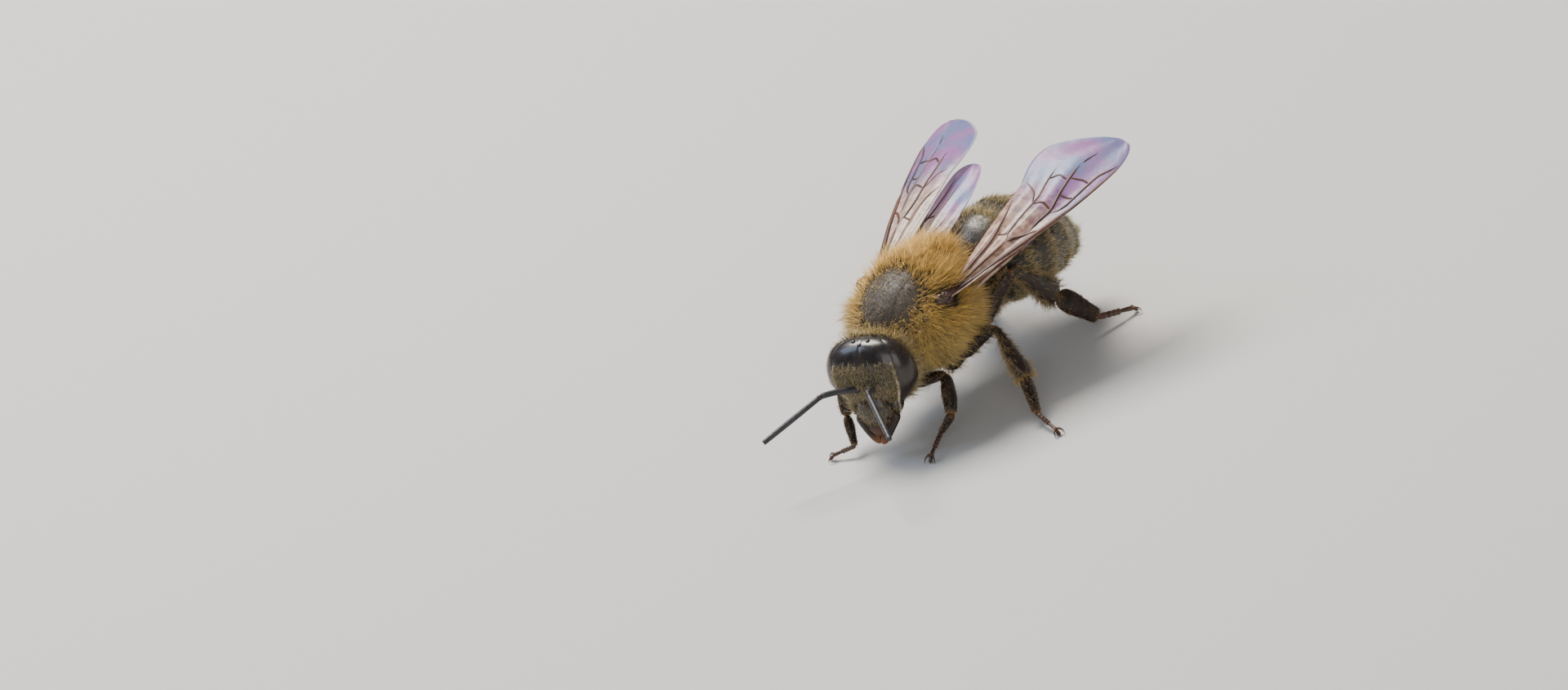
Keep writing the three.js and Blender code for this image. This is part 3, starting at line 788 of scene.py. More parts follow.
def plate_rim(d):
    return 0.75 * smooth((rearwards(d) / PLATE_LIP - 0.8) * 6)


ABDOMEN_FINISH = shell("abdomen_finish", (0.008, 0.006, 0.004), (0.03, 0.021, 0.012),
                       (0.07, 0.04, 0.016), rough=(0.24, 0.4), pits=24, depth=0.4, gloss=0.16, shine=0.35)
for index in range(len(RING_EDGES) - 1):
    shape = new_shape()
    ball(shape, 96, 40, lambda d: plate_place(index, d), plate_rim)
    name = f"abdomen_{index + 1}"
    settle(f"{name}_plates", shape, ABDOMEN_FINISH, [name])

# ------------------------------------------------------------------ wings
# Two pairs of clear, brownish membrane, stiffened by tube-like veins: a stout one along the front
# edge, and cells behind it. They are creased lengthways, and the hind pair has hooks in front.
HIND_HINGE = (1.72, 0.5, 0.45)
WINGS = {
    "forewing_left": {"root": HINGE, "spread": 12.2, "lift": 11, "twist": 14.7},
    "hindwing_left": {"root": HIND_HINGE, "spread": 7, "lift": 12.5, "twist": 15},
    "forewing_right": {"root": HINGE, "spread": 23.9, "lift": 9.6, "twist": 16.5},
    "hindwing_right": {"root": HIND_HINGE, "spread": 7.3, "lift": 18.6, "twist": 8},
}
# Each edge is a chain of curves from the root to the tip: (point, handle, handle), ..., point.
EDGES = {
    "forewing": {
        "length": 9.28,
        "front": [(0, -0.16), (3, -0.5), (5.8, -0.72), (7.9, -0.5), (8.6, -0.4), (9.2, -0.15), (9.28, 0.3)],
        "rear": [(0, 0.15), (1.6, 0.75), (3.9, 1.55), (5.36, 1.87), (6.3, 2.5), (7.0, 2.65), (7.5, 2.4),
                 (8.3, 2.0), (9.3, 1.1), (9.28, 0.3)],
    },
    "hindwing": {
        "length": 6.35,
        "front": [(0, -0.14), (2.4, -0.3), (4.6, -0.42), (5.8, -0.25), (6.3, -0.1), (6.36, 0.3), (6.35, 0.5)],
        "rear": [(0, 0.2), (1.2, 0.95), (2.6, 1.45), (3.9, 1.42), (5.0, 1.42), (6.34, 1.2), (6.35, 0.5)],
    },
}
# Veins as (share of the length, share of the way from the front edge to the rear one).
VEINS = {
    "forewing": [
        (0.062, 0.05, [(0.0, 0.3), (0.15, 0.14), (0.35, 0.06), (0.55, 0.035), (0.62, 0.04)]),
        (0.04, 0.02, [(0.56, 0.02), (0.7, 0.015), (0.82, 0.012), (0.9, 0.01)]),
        (0.05, 0.036, [(0.0, 0.55), (0.15, 0.42), (0.33, 0.37)]),
        (0.034, 0.034, [(0.33, 0.37), (0.385, 0.26), (0.43, 0.15), (0.455, 0.06)]),
        (0.034, 0.028, [(0.41, 0.2), (0.48, 0.24), (0.545, 0.24), (0.63, 0.32), (0.72, 0.37), (0.8, 0.42)]),
        (0.032, 0.028, [(0.54, 0.235), (0.57, 0.15), (0.61, 0.115), (0.7, 0.125), (0.8, 0.13), (0.89, 0.03)]),
        (0.028, 0.024, [(0.655, 0.12), (0.64, 0.2), (0.63, 0.32)]),
        (0.028, 0.024, [(0.745, 0.13), (0.745, 0.22), (0.715, 0.37)]),
        (0.032, 0.028, [(0.33, 0.37), (0.37, 0.48), (0.45, 0.54), (0.53, 0.56), (0.66, 0.6), (0.73, 0.62)]),
        (0.03, 0.026, [(0.53, 0.56), (0.56, 0.42), (0.555, 0.24)]),
        (0.028, 0.024, [(0.66, 0.6), (0.7, 0.5), (0.7, 0.37)]),
        (0.026, 0.016, [(0.53, 0.56), (0.58, 0.7), (0.6, 0.9)]),
        (0.04, 0.022, [(0.0, 0.8), (0.12, 0.72), (0.3, 0.7), (0.45, 0.84), (0.52, 0.97)]),
        (0.028, 0.026, [(0.365, 0.47), (0.34, 0.7)]),
        (0.022, 0.01, [(0.8, 0.42), (0.88, 0.45)]),
    ],
    "hindwing": [
        (0.045, 0.034, [(0.0, 0.3), (0.3, 0.12), (0.55, 0.06), (0.62, 0.02)]),
        (0.03, 0.016, [(0.5, 0.07), (0.62, 0.14), (0.78, 0.2), (0.88, 0.2)]),
        (0.034, 0.026, [(0.0, 0.55), (0.2, 0.46), (0.36, 0.42), (0.56, 0.4), (0.72, 0.46), (0.84, 0.52)]),
        (0.026, 0.024, [(0.56, 0.4), (0.58, 0.25), (0.56, 0.09)]),
        (0.026, 0.018, [(0.36, 0.42), (0.44, 0.56), (0.56, 0.66)]),
        (0.03, 0.014, [(0.0, 0.8), (0.2, 0.72), (0.36, 0.78), (0.5, 0.95)]),
    ],
}


def edge_line(chain):
    """Evenly spread points of a chain of curves given as point, handle, handle, point, ..."""
    points = [Vector((*p, 0)) for p in chain]
    line = []
    for i in range(0, len(points) - 1, 3):
        line += geometry.interpolate_bezier(*points[i:i + 4], 40)
    line = np.array([p[:2] for p in line])
    return line[np.argsort(line[:, 0], kind="stable")]


CREASE_DEPTH = 0.055
RIPPLE_DEPTH = 0.03
CAMBER = 0.055
DROOP = 0.1


class Wing:
    """One wing's outline, pose and folds."""

    def __init__(self, name):
        kind, side_name = name.split("_")
        pose = WINGS[name]
        edges = EDGES[kind]
        self.side = SIDES[side_name]
        self.length = edges["length"]
        self.front = edge_line(edges["front"])
        self.rear = edge_line(edges["rear"])
        self.fore = kind == "forewing"
        spread, lift, twist = (radians(pose[key]) for key in ("spread", "lift", "twist"))
        along = np.array([self.side * sin(spread) * cos(lift), cos(spread) * cos(lift), sin(lift)])
        chord = np.array([-self.side * cos(twist), 0, sin(twist)])
        chord = unit(chord - along * (chord @ along))
        over = np.cross(along, chord) * self.side
        self.axes = np.array([along, chord, over])
        x, y, z = pose["root"]
        self.root = np.array([self.side * x, y, z])

    def place(self, share, across):
        """A point of the membrane: share of the length, and across from the front edge to the rear."""
        share = np.asarray(share, float)
        across = np.asarray(across, float)
        x = share * self.length
        front = np.interp(x, self.front[:, 0], self.front[:, 1])
        rear = np.interp(x, self.rear[:, 0], self.rear[:, 1])
        y = mix(front, rear, across)
        # every fold dies away with the width of the wing, so that the tip stays flat
        width = rear - front
        creases = np.sin(2 * pi * (2.6 * across + 0.15)) * (1 - smooth((share - 0.35) * 1.8))
        ripple = np.sin(2 * pi * (1.8 * across - 0.9 * share)) * smooth((share - 0.3) * 2)
        folds = CREASE_DEPTH * creases + RIPPLE_DEPTH * ripple
        camber = CAMBER * width * np.sin(pi * np.clip(across, 0, 1)) * smooth(share * 2)
        z = folds * smooth(share * 6) * smooth(width - 0.2) + camber - DROOP * share ** 2
        return self.root + np.stack([x, y, z], axis=-1) @ self.axes


def membrane_finish():
    """Clear brown-pink membrane, wrinkled, with a painted violet and blue iridescent reflection in its colour
    towards the tip.
    """
    material, tree, surface = new_material("wing_membrane_finish")
    place = millimetres(tree)
    wrinkles = noise(tree, place, 3.2, 5.0, 0.62)
    bands = noise(tree, place, 0.75, 1.5)
    base = blend_colour(tree, ramp(tree, wrinkles, 0.35, 0.65), (0.42, 0.22, 0.18), (0.8, 0.55, 0.4))
    # painted reflection: violet and blue iridescence mixed into the colour towards the tip
    painted_iridescence = blend_colour(tree, ramp(tree, bands, 0.36, 0.6), (0.3, 0.07, 0.4), (0.06, 0.13, 0.42))
    tip = ramp(tree, attribute(tree, "share"), 0.42, 0.7, 0.0, 0.85)
    rim = ramp(tree, attribute(tree, "rim"), 0.5, 1.0)
    alpha = ramp(tree, wrinkles, 0.3, 0.75, 0.52, 0.7)
    alpha = reckon(tree, "ADD", alpha, reckon(tree, "MULTIPLY", rim, 0.3))
    alpha = reckon(tree, "ADD", alpha, reckon(tree, "MULTIPLY", tip, 0.16), clamped=True)
    feed(tree, surface, {
        "Base Color": blend_colour(tree, rim, blend_colour(tree, tip, base, painted_iridescence), (0.62, 0.72, 0.72)),
        "Alpha": alpha,
        "Roughness": 0.3,
        "Specular IOR Level": 0.45,
        "Thin Film Thickness": 460,
        "Thin Film IOR": 1.5,
    })
    emboss(tree, surface, wrinkles, 0.5, 0.03)
    return material


MEMBRANE_FINISH = membrane_finish()
VEIN_FINISH = shell("vein_finish", (0.03, 0.013, 0.014), (0.09, 0.04, 0.032), (0.15, 0.07, 0.045),
                    rough=(0.3, 0.42), pits=12, depth=0.2, bump=0.004, shine=0.3)
MEMBRANE_THICKNESS = 0.014
VEIN_SWELL = 1.75
HOOKS = 18
for name in WINGS:
    wing = Wing(name)
    rows = 84 if wing.fore else 64
    columns = 30
    shape = bmesh.new()
    share_layer = shape.verts.layers.float.new("share")
    rim_layer = shape.verts.layers.float.new("rim")
    made = bmesh.ops.create_grid(shape, x_segments=rows, y_segments=columns, size=1)["verts"]
    grid = np.array([v.co[:] for v in made])
    share = np.sin((grid[:, 0] + 1) / 2 * pi / 2)
    across = (grid[:, 1] + 1) / 2
    for vert, spot, s, a in zip(made, wing.place(share, across), share, across):
        vert.co = spot
        vert[share_layer] = s
        vert[rim_layer] = s * max(smooth((a - 0.93) * 20), smooth((s - 0.985) * 90))
    bmesh.ops.remove_doubles(shape, verts=shape.verts, dist=0.0015)
    bmesh.ops.recalc_face_normals(shape, faces=shape.faces)
    bmesh.ops.solidify(shape, geom=shape.faces, thickness=MEMBRANE_THICKNESS)
    settle(f"{name}_membrane", shape, MEMBRANE_FINISH, [name])

    shape = new_shape()
    for thick, thin, stops in VEINS[name.split("_")[0]]:
        route = np.array(stops, float)
        steps = np.linspace(0, len(route) - 1, 8 * len(route))
        walk = np.stack([np.interp(steps, range(len(route)), route[:, i]) for i in (0, 1)], axis=1)
        for _ in range(4):
            walk[1:-1] = (walk[:-2] + walk[1:-1] * 2 + walk[2:]) / 4
        path = wing.place(walk[:, 0], walk[:, 1])
        sizes = np.linspace(thick, thin, len(path)) * VEIN_SWELL
        strand(shape, path, sizes, 8, len(path) + 4, flat=0.55, up=wing.axes[2],
               ripe=lambda d: smooth((1 + d[:, 2]) / 2) * 0.8)
    if not wing.fore:
        # the row of hooks along the hind wing's front edge
        for share in np.linspace(0.63, 0.78, HOOKS):
            foot = wing.place(share, 0.0)
            hook = [foot - wing.axes[1] * ahead + wing.axes[2] * high
                    for ahead, high in ((0, 0), (0.05, 0.04), (0.07, 0.09), (0.03, 0.11))]
            strand(shape, hook, 0.009, 4, 5, up=wing.axes[0])
    settle(f"{name}_veins", shape, VEIN_FINISH)

# ------------------------------------------------------------------ legs
# Each leg has a hip, a small ring, a thigh, a shin, a long first foot segment, four short ones, and
# two hooked claws round a soft pad. The hind shins are broad and flat, to carry pollen.
LEG_SEGMENTS = ("coxa", "femur", "tibia", "basitarsus", "tarsus")
# half breadth and half thickness of each segment, and the foot's radius
GIRTHS = {
    "front": {"femur": (0.27, 0.23), "tibia": (0.29, 0.26), "basitarsus": (0.21, 0.18), "tarsus": 0.095},
    "middle": {"femur": (0.28, 0.24), "tibia": (0.35, 0.25), "basitarsus": (0.33, 0.2), "tarsus": 0.1},
    "hind": {"femur": (0.33, 0.25), "tibia": (0.47, 0.19), "basitarsus": (0.44, 0.17), "tarsus": 0.11},
}
LEG_FINISH = shell("leg_finish", (0.009, 0.005, 0.003), (0.036, 0.018, 0.01), (0.2, 0.1, 0.03),
                   rough=(0.24, 0.42), pits=18, depth=0.8, bump=0.02, gloss=0.06, shine=0.26)
FOOT_FINISH = shell("foot_finish", (0.03, 0.012, 0.006), (0.08, 0.03, 0.012), (0.17, 0.068, 0.022),
                    rough=(0.25, 0.4), pits=20, depth=0.4, gloss=0.25)
# where each short foot segment starts, as a share of the way from the heel to the claws
FOOT_SHARES = (0, 0.19, 0.34, 0.48, 0.6, 1)
CLAW_BASE_HEIGHT = 0.2


def thigh_girth(t):
    return capped(t, 0.22) * mix(0.95, 0.72, smooth(t)) * (1 + 0.12 * np.sin(pi * t)) + 0.04


def shin_girth(t):
    broadening = mix(0.42, 1, smooth(t * 1.25)) * mix(1, 0.9, smooth(t * 4 - 3))
    return mix(0.15, 1, capped(t, 0.12)) * broadening


def front_shin_girth(t):
    spindle = (0.62 + 0.38 * np.sin(pi * t) ** 0.8) * mix(0.95, 1.08, t)
    return mix(0.3, 1, capped(t, 0.12)) * spindle


def sole_girth(t):
    tapering = mix(0.86, 1, smooth(t * 3)) * mix(1, 0.7, smooth(t * 1.4 - 0.3))
    return mix(0.3, 1, capped(t, 0.14)) * tapering


def toe_girth(t):
    return capped(t, 0.08) * mix(0.82, 1.03, smooth(t * 1.2)) + 0.03


def joint_ripe(t):
    """Paler, redder shell in a narrow ring at each joint."""
    return 0.7 * np.exp(-((1 - t) / 0.05) ** 2) + 0.4 * np.exp(-(t / 0.05) ** 2)


def toe_ripe(t):
    return 0.4 * smooth((t - 0.6) * 3)


legs = {}
for side_name, side in SIDES.items():
    for pair, girth in GIRTHS.items():
        leg = f"{pair}_{side_name}"
        solids = [f"leg_{leg}_{segment}" for segment in LEG_SEGMENTS]
        hip, knee, ankle, heel = [joint(a, b) for a, b in zip(solids, solids[1:])]
        toe = far_end(solids[4], heel)
        shoulder = far_end(solids[0], hip)
        shin = front_shin_girth if pair == "front" else shin_girth

        def across(a, b):
            return np.cross(b - a, (side, 0, 0))

        parts = {
            "coxa": Limb(mix(shoulder, hip, -0.4), hip, 0.36, 0.33,
                         lambda t: 0.3 + 0.7 * capped(t, 0.4), across(shoulder, hip)),
            "trochanter": Limb(mix(hip, knee, -0.06), mix(hip, knee, 0.16), girth["femur"][0] * 0.8,
                               girth["femur"][1] * 0.85, lambda t: capped(t, 0.5), across(hip, knee)),
            "femur": Limb(mix(hip, knee, 0.1), knee, *girth["femur"], thigh_girth,
                          across(hip, knee), bow=(0, 0, 0.05)),
            "tibia": Limb(knee, ankle, *girth["tibia"], shin, across(knee, ankle)),
            "basitarsus": Limb(ankle, heel, *girth["basitarsus"], sole_girth, across(ankle, heel)),
        }
        shape = new_shape()
        for segment, limb in parts.items():
            limb.add(shape, 28, 16 if segment in ("coxa", "trochanter") else 30, joint_ripe)
        # the spur at the end of a front or middle shin
        if pair != "hind":
            spur = [ankle - parts["tibia"].wide * aside + unit(heel - ankle) * ahead
                    for aside, ahead in ((0.12, 0), (0.2, 0.16), (0.22, 0.34))]
            strand(shape, spur, [0.04, 0.028, 0.008], 6, 8, ripe=0.8)
        settle(f"leg_{leg}_shell", shape, LEG_FINISH, solids[:4])

        # foot: four short segments, each flared at its end, and a longer one with the claws
        shape = new_shape()
        claw_base = mix(heel, np.array([toe[0], toe[1], CLAW_BASE_HEIGHT - STAND_HEIGHT]), 0.9)
        for i, (a, b) in enumerate(zip(FOOT_SHARES, FOOT_SHARES[1:])):
            thick = girth["tarsus"] * (1 if i < 4 else 0.75)
            Limb(mix(heel, claw_base, a - 0.015), mix(heel, claw_base, b + 0.01), thick * 1.1,
                 thick * 0.85, toe_girth, across(heel, claw_base)).add(shape, 14, 14, toe_ripe)
        ahead = unit((claw_base - heel) * (1, 1, 0))
        sideways = np.array([-ahead[1], ahead[0], 0])

        def from_claw_base(forward, aside, height):
            """A point in front of the claws' base and to one side, at a height above the floor."""
            spot = claw_base + ahead * forward + sideways * aside
            return np.array([spot[0], spot[1], height - STAND_HEIGHT])

        for way in (1, -1):
            root = mix(heel, claw_base, 0.93) + sideways * way * 0.02
            bend = claw_base + ahead * 0.16 + sideways * way * 0.2 + (0, 0, 0.09)
            tip = from_claw_base(0.22, way * 0.2, 0.005)
            claw = [root * (1 - u) ** 2 + bend * 2 * u * (1 - u) + tip * u * u
                    for u in np.linspace(0, 1, 9)]
            strand(shape, claw, np.linspace(0.055, 0.008, 9), 8, 12, ripe=lambda d: 0.2 - 0.2 * d[:, 2])
        Limb(mix(heel, claw_base, 0.95), from_claw_base(0.19, 0, 0.05), 0.085, 0.06,
             lambda t: capped(t, 0.3) * mix(0.7, 1, t), sideways).add(shape, 14, 12)
        settle(f"foot_{leg}_claws", shape, FOOT_FINISH, solids[4:])
        legs[leg] = parts


# ------------------------------------------------------------------ thorax coat
# Dense, feathery hair that stands out all round the bare disc: orange gold on the back and the
# scutellum, paler tan on the flanks and thinner below, where the legs and the waist are.
def hair(name, root, pale, gold):
    """Hair: dark towards the root as painted shade deep in the coat, then pale or golden as the coat's
    markings say, each one its own.
    """
    material, tree, surface = new_material(name)
    tip = blend_colour(tree, gold_of(tree), pale, gold)
    # each hair darkens towards its root: painted shade deep in the coat
    colour = blend_colour(tree, ramp(tree, attribute(tree, "reach"), 0.0, 0.8), root, tip)
    shade = ramp(tree, attribute(tree, "shade"), 0.0, 1.0, 0.45, 1.45)
    value = wire(tree, "ShaderNodeHueSaturation", {"Value": shade, "Color": colour})
    feed(tree, surface, {"Base Color": value.outputs[0], "Roughness": 0.5, "Sheen Weight": 0.25})
    return material


THORAX_HAIR = hair("thorax_hair_finish", (0.02, 0.011, 0.003), (0.62, 0.44, 0.14), (0.8, 0.46, 0.06))


# Each hair is a thin three-sided spike with a bend in it. A tuft is a few of them from one root.
# They are laid out over a skin as arrays, and each tuft keeps its own patch of the bake map.
TUFT_PATCH = 0.003
ROOT_DEPTH = 0.03
STRAY_BEND = 0.1


def hair_pattern():
    bm = bmesh.new()
    bmesh.ops.create_cone(bm, cap_ends=True, cap_tris=False, segments=3, radius1=1, radius2=0, depth=1)
    bmesh.ops.remove_doubles(bm, verts=bm.verts, dist=1e-5)
    bmesh.ops.translate(bm, verts=bm.verts, vec=(0, 0, 0.5))
    everything = bm.verts[:] + bm.edges[:] + bm.faces[:]
    bmesh.ops.bisect_plane(bm, geom=everything, plane_co=(0, 0, 0.5), plane_no=(0, 0, 1))
    bmesh.ops.triangulate(bm, faces=bm.faces)
    bmesh.ops.recalc_face_normals(bm, faces=bm.faces)
    bm.verts.index_update()
    points = np.array([v.co[:] for v in bm.verts])
    faces = np.array([[v.index for v in f.verts] for f in bm.faces])
    bm.free()
    points[points[:, 2] > 0.3, :2] *= 1.5
    return points, faces


HAIR_POINTS, HAIR_FACES = hair_pattern()


def field(points, seed, waves=1.6):
    """A smooth, repeatable wander from -1 to 1 over the body, in three directions."""
    draw = np.random.default_rng(seed)
    total = np.zeros((len(points), 3))
    for _ in range(5):
        way = draw.normal(size=(3, 3)) * waves
        total += np.sin(points @ way + draw.uniform(0, 2 * pi, 3))
    return total / 2.6


def roots_on(piece, count, seed):
    """Random places on a piece, in her millimetres, with the way out of its surface."""
    draw = np.random.default_rng(seed)
    mesh = piece.data
    places = (np.array([v.co[:] for v in mesh.vertices]) - np.array(MIDDLE)) / MM
    # the operators number points and faces differently in each run, so both are put in order here
    order = np.lexsort(places.T)
    rank = np.argsort(order)
    places = places[order]
    corners = []
    for face in mesh.polygons:
        ring = [int(rank[i]) for i in face.vertices]
        first = ring.index(min(ring))
        ring = ring[first:] + ring[:first]
        corners += [(ring[0], ring[i], ring[i + 1]) for i in range(1, len(ring) - 1)]
    corners = np.array(sorted(corners))
    a, b, c = (places[corners[:, i]] for i in range(3))
    slant = np.cross(b - a, c - a)
    outs = np.zeros_like(places)
    for i in range(3):
        np.add.at(outs, corners[:, i], slant)
    outs = unit(outs)
    area = np.linalg.norm(slant, axis=1)
    picked = draw.choice(len(area), count, p=area / area.sum())
    u, v = draw.random(count), draw.random(count)
    over = u + v > 1
    u[over], v[over] = 1 - u[over], 1 - v[over]
    weights = np.stack([1 - u - v, u, v], axis=1)[:, :, None]
    chosen = corners[picked]
    return (places[chosen] * weights).sum(1), unit((outs[chosen] * weights).sum(1))


def thin_out(density, seed, *arrays):
    kept = np.random.default_rng(seed).random(len(density)) < density
    return [array[kept] for array in arrays]


def grow_coat(name, roots, outs, lean, lengths, unwrap, material, seed, girth, fan,
              hairs=3, pieces=1, curl=(0, 0, 0), spacing=0.05):
    """Lays a tuft of hairs at every root and joins the tufts into pieces of a coat.

    The hairs of a tuft stand spacing apart, and their ways spread by fan round the tuft's lean.
    """
    draw = np.random.default_rng(seed)
    count = len(roots) * hairs
    tuft = np.repeat(np.arange(len(roots)), hairs)
    place_in_tuft = np.tile(np.arange(hairs), len(roots))

    def scatter(size):
        return draw.normal(size=(count, 3)) * size

    way = unit(unit(lean)[tuft] + scatter(fan / 2))
    start = roots[tuft] + scatter(spacing / 2) - outs[tuft] * ROOT_DEPTH
    spread = draw.random(count)
    long = np.broadcast_to(lengths, len(roots))[tuft] * (0.55 + 0.55 * spread + 0.4 * spread ** 8)
    side = unit(np.cross(way, scatter(1)))
    other = np.cross(way, side)
    bend = np.broadcast_to(curl, roots.shape)[tuft] + scatter(STRAY_BEND)
    thick = girth * draw.uniform(0.75, 1.25, count)
    x, y, z = (HAIR_POINTS[:, i][None, :, None] for i in range(3))
    across = (side[:, None] * x + other[:, None] * y) * thick[:, None, None]
    along = (way[:, None] * z + bend[:, None] * z ** 2) * long[:, None, None]
    co = start[:, None] + across + along
    patch = unwrap[tuft][:, None]
    local = np.stack([(place_in_tuft[:, None] + 0.5 + 0.3 * HAIR_POINTS[:, 0][None]) / hairs - 0.5,
                      np.broadcast_to(HAIR_POINTS[:, 2] - 0.5, (count, len(HAIR_POINTS)))], axis=2)
    uv = np.clip(patch * (1 - TUFT_PATCH) + TUFT_PATCH / 2, 0, 1) + local * TUFT_PATCH
    tones = draw.random(count) * 0.7 + draw.random(len(roots))[tuft] * 0.3
    order = np.argsort(roots[:, 1], kind="stable")
    for number, chosen in enumerate(np.array_split(order, pieces), start=1):
        mine = np.isin(tuft, chosen)
        total = int(mine.sum())
        points = co[mine].reshape(-1, 3) * MM + np.array(MIDDLE)
        faces = (HAIR_FACES[None] + (np.arange(total) * len(HAIR_POINTS))[:, None, None]).reshape(-1)
        mesh = bpy.data.meshes.new(f"{name}_{number}")
        mesh.vertices.add(len(points))
        mesh.vertices.foreach_set("co", points.astype(np.float32).ravel())
        mesh.loops.add(len(faces))
        mesh.loops.foreach_set("vertex_index", faces.astype(np.int32))
        mesh.polygons.add(len(faces) // 3)
        mesh.polygons.foreach_set("loop_start", np.arange(0, len(faces), 3, dtype=np.int32))
        mesh.update(calc_edges=True)
        layer = mesh.uv_layers.new(name="OFBake")
        layer.uv.foreach_set("vector", uv[mine].reshape(-1, 2)[faces].astype(np.float32).ravel())
        for label, values in (("reach", np.tile(HAIR_POINTS[:, 2], total)),
                              ("shade", np.repeat(tones[mine], len(HAIR_POINTS)))):
            mesh.attributes.new(label, "FLOAT", "POINT").data.foreach_set("value", values.astype(np.float32))
        wear(mesh, material)


def round_unwrap(directions):
    """Longitude and latitude round the Z axis, as shares."""
    d = unit(directions)
    longitude = np.arctan2(d[:, 1], d[:, 0]) / (2 * pi) + 0.5
    return np.stack([longitude, np.arccos(np.clip(d[:, 2], -1, 1)) / pi], axis=1)


def clear_of_hinges(points):
    """0 where a wing's hinge shows through the coat, 1 away from it."""
    clear = np.ones(len(points))
    for start, end in hinge_spans:
        hinge = end - start
        along = np.clip((points - start) @ hinge / (hinge @ hinge), 0, 1)
        away = np.linalg.norm(points - start - along[:, None] * hinge, axis=1)
        clear *= smooth((away - 0.42) / 0.2)
    return clear


DISC_DENSITY = 0.014
roots, outs = roots_on(thorax_skin, 30000, 11)
ways = unit(roots / THORAX)
off = from_bald(ways)
ring = smooth((off - BALD_RADIUS) / BALD_EDGE)
below = smooth((ways[:, 2] + 0.95) / 0.8)
facing_head = smooth((ways @ unit(HEAD_PLACE) - 0.93) / 0.05)
at_waist = smooth((ways[:, 1] - 0.8) / 0.12) * smooth((0.25 - ways[:, 2]) / 0.3)
density = mix(DISC_DENSITY, 1, ring ** 0.8) * mix(0.4, 1, below) * clear_of_hinges(roots)
density *= (1 - 0.9 * facing_head) * (1 - 0.9 * at_waist)
roots, outs, ways, off, ring, below = thin_out(density, 12, roots, outs, ways, off, ring, below)
lengths = COAT_DEPTH * mix(0.28, 1.15, smooth((off - BALD_RADIUS) / 27)) * mix(0.55, 1, below)
# it leans away from the disc, to the rear and, below, downwards, and parts here and there in clumps
away = unit(ways - BALD_AXIS * (ways @ BALD_AXIS)[:, None])
lean = outs + 0.14 * away * (1 - smooth((off - 60) / 30))[:, None]
lean = lean + (0, 0.22, 0) + np.array([0, 0, -0.3]) * (1 - below)[:, None]
lean = lean + 0.16 * field(roots, 13) + 0.2 * field(roots, 17, 7)
curl = 0.12 * field(roots, 14, 2.5) + (0, 0.098, -0.07)
grow_coat("thorax_coat", roots, outs, lean, lengths, round_unwrap(ways), THORAX_HAIR,
          15, girth=0.0115, fan=0.36, pieces=4, curl=curl)

# On the disc itself there is only a thin, short, dark down.
DISC_HAIR = hair("disc_down_finish", (0.04, 0.029, 0.017), (0.17, 0.125, 0.07), (0.3, 0.2, 0.08))
roots, outs = roots_on(thorax_skin, 26000, 21)
ways = unit(roots / THORAX)
density = 0.8 * (1 - smooth((from_bald(ways) - BALD_RADIUS - 4) / 14))
roots, outs, ways = thin_out(density, 22, roots, outs, ways)
lean = outs + (0, 0.7, 0) + 0.2 * field(roots, 23)
grow_coat("disc_down", roots, outs, lean, 0.15, round_unwrap(ways), DISC_HAIR, 24,
          girth=0.006, fan=0.5, hairs=2, curl=(0, 0.2, -0.1))

# ------------------------------------------------------------------ head coat
# The face below the crown wears short, flat, olive-tan hair that parts down the middle. Longer
# tan hair rims the head behind the eyes, and a pale line follows each eye's edge.
FACE_HAIR = hair("face_hair_finish", (0.05, 0.034, 0.014), (0.4, 0.3, 0.12), (0.48, 0.34, 0.1))
RIM_HAIR = hair("rim_hair_finish", (0.16, 0.11, 0.05), (0.62, 0.47, 0.22), (0.62, 0.43, 0.16))
LINE_HAIR = hair("eye_line_hair_finish", (0.4, 0.32, 0.18), (0.85, 0.74, 0.5), (0.85, 0.72, 0.45))


def head_unwrap(places):
    """Longitude and latitude round the head's own fore-and-aft axis."""
    return round_unwrap(places[:, [0, 2, 1]])


roots, outs = roots_on(head_shell, 16000, 31)
local = off_head(roots)
ahead = -(outs @ HEAD_AXES)[:, 1]
density = 0.85 * smooth((0.98 - local[:, 2]) * 4) * smooth((ahead - 0.05) * 3)
for side in SIDES.values():
    from_socket = np.hypot(local[:, 0] - side * SOCKET[0], local[:, 2] - SOCKET[2])
    density = density * smooth((from_socket - 0.1) * 10)
on_clypeus = smooth((-0.45 - local[:, 2]) * 5) * smooth((0.75 - np.abs(local[:, 0])) * 6)
density = density * mix(1, 0.9, on_clypeus) * (eye_reach(local) > 1.03)
roots, outs, local = thin_out(density, 32, roots, outs, local)
down = unit(local * (0.6, 0, 0) + (0, -0.15, -1)) @ HEAD_AXES.T
lean = outs * 0.5 + down + 0.25 * field(roots, 33, 3)
lengths = mix(0.2, 0.12, smooth((0.1 - local[:, 2]) * 1.5))
grow_coat("face_coat", roots, outs, lean, lengths, head_unwrap(local), FACE_HAIR, 34,
          girth=0.0065, fan=0.4)

# Behind the crown it is long and golden, and behind each eye it stands out beyond the eye's edge.
skin_roots, skin_outs = roots_on(head_shell, 36000, 41)
local = off_head(skin_roots)
behind = smooth(((skin_outs @ HEAD_AXES)[:, 1] + 0.15) * 2.5)
off_eyes = eye_reach(local) > 1.02
crown = 0.16 * smooth((local[:, 2] - 1.0) * 4) * smooth((local[:, 1] - 0.1) * 4) * off_eyes
cheek = behind * smooth((np.abs(local[:, 0]) - 0.7) * 4) * smooth((1.2 - local[:, 2]) * 2) * off_eyes
for name, density, length, spread, finish, seed in [("crown_coat", crown, 0.5, 0, THORAX_HAIR, 43),
                                                    ("cheek_coat", cheek, 0.62, 1.3, RIM_HAIR, 46)]:
    roots, outs, places = thin_out(density, seed, skin_roots, skin_outs, local)
    sideways = np.sign(places[:, 0])[:, None] * HEAD_AXES[:, 0]
    lean = outs + spread * sideways + 0.5 * field(roots, seed, 2)
    grow_coat(name, roots, outs, lean, length, head_unwrap(places), finish, seed + 1,
              girth=0.008, fan=0.6)

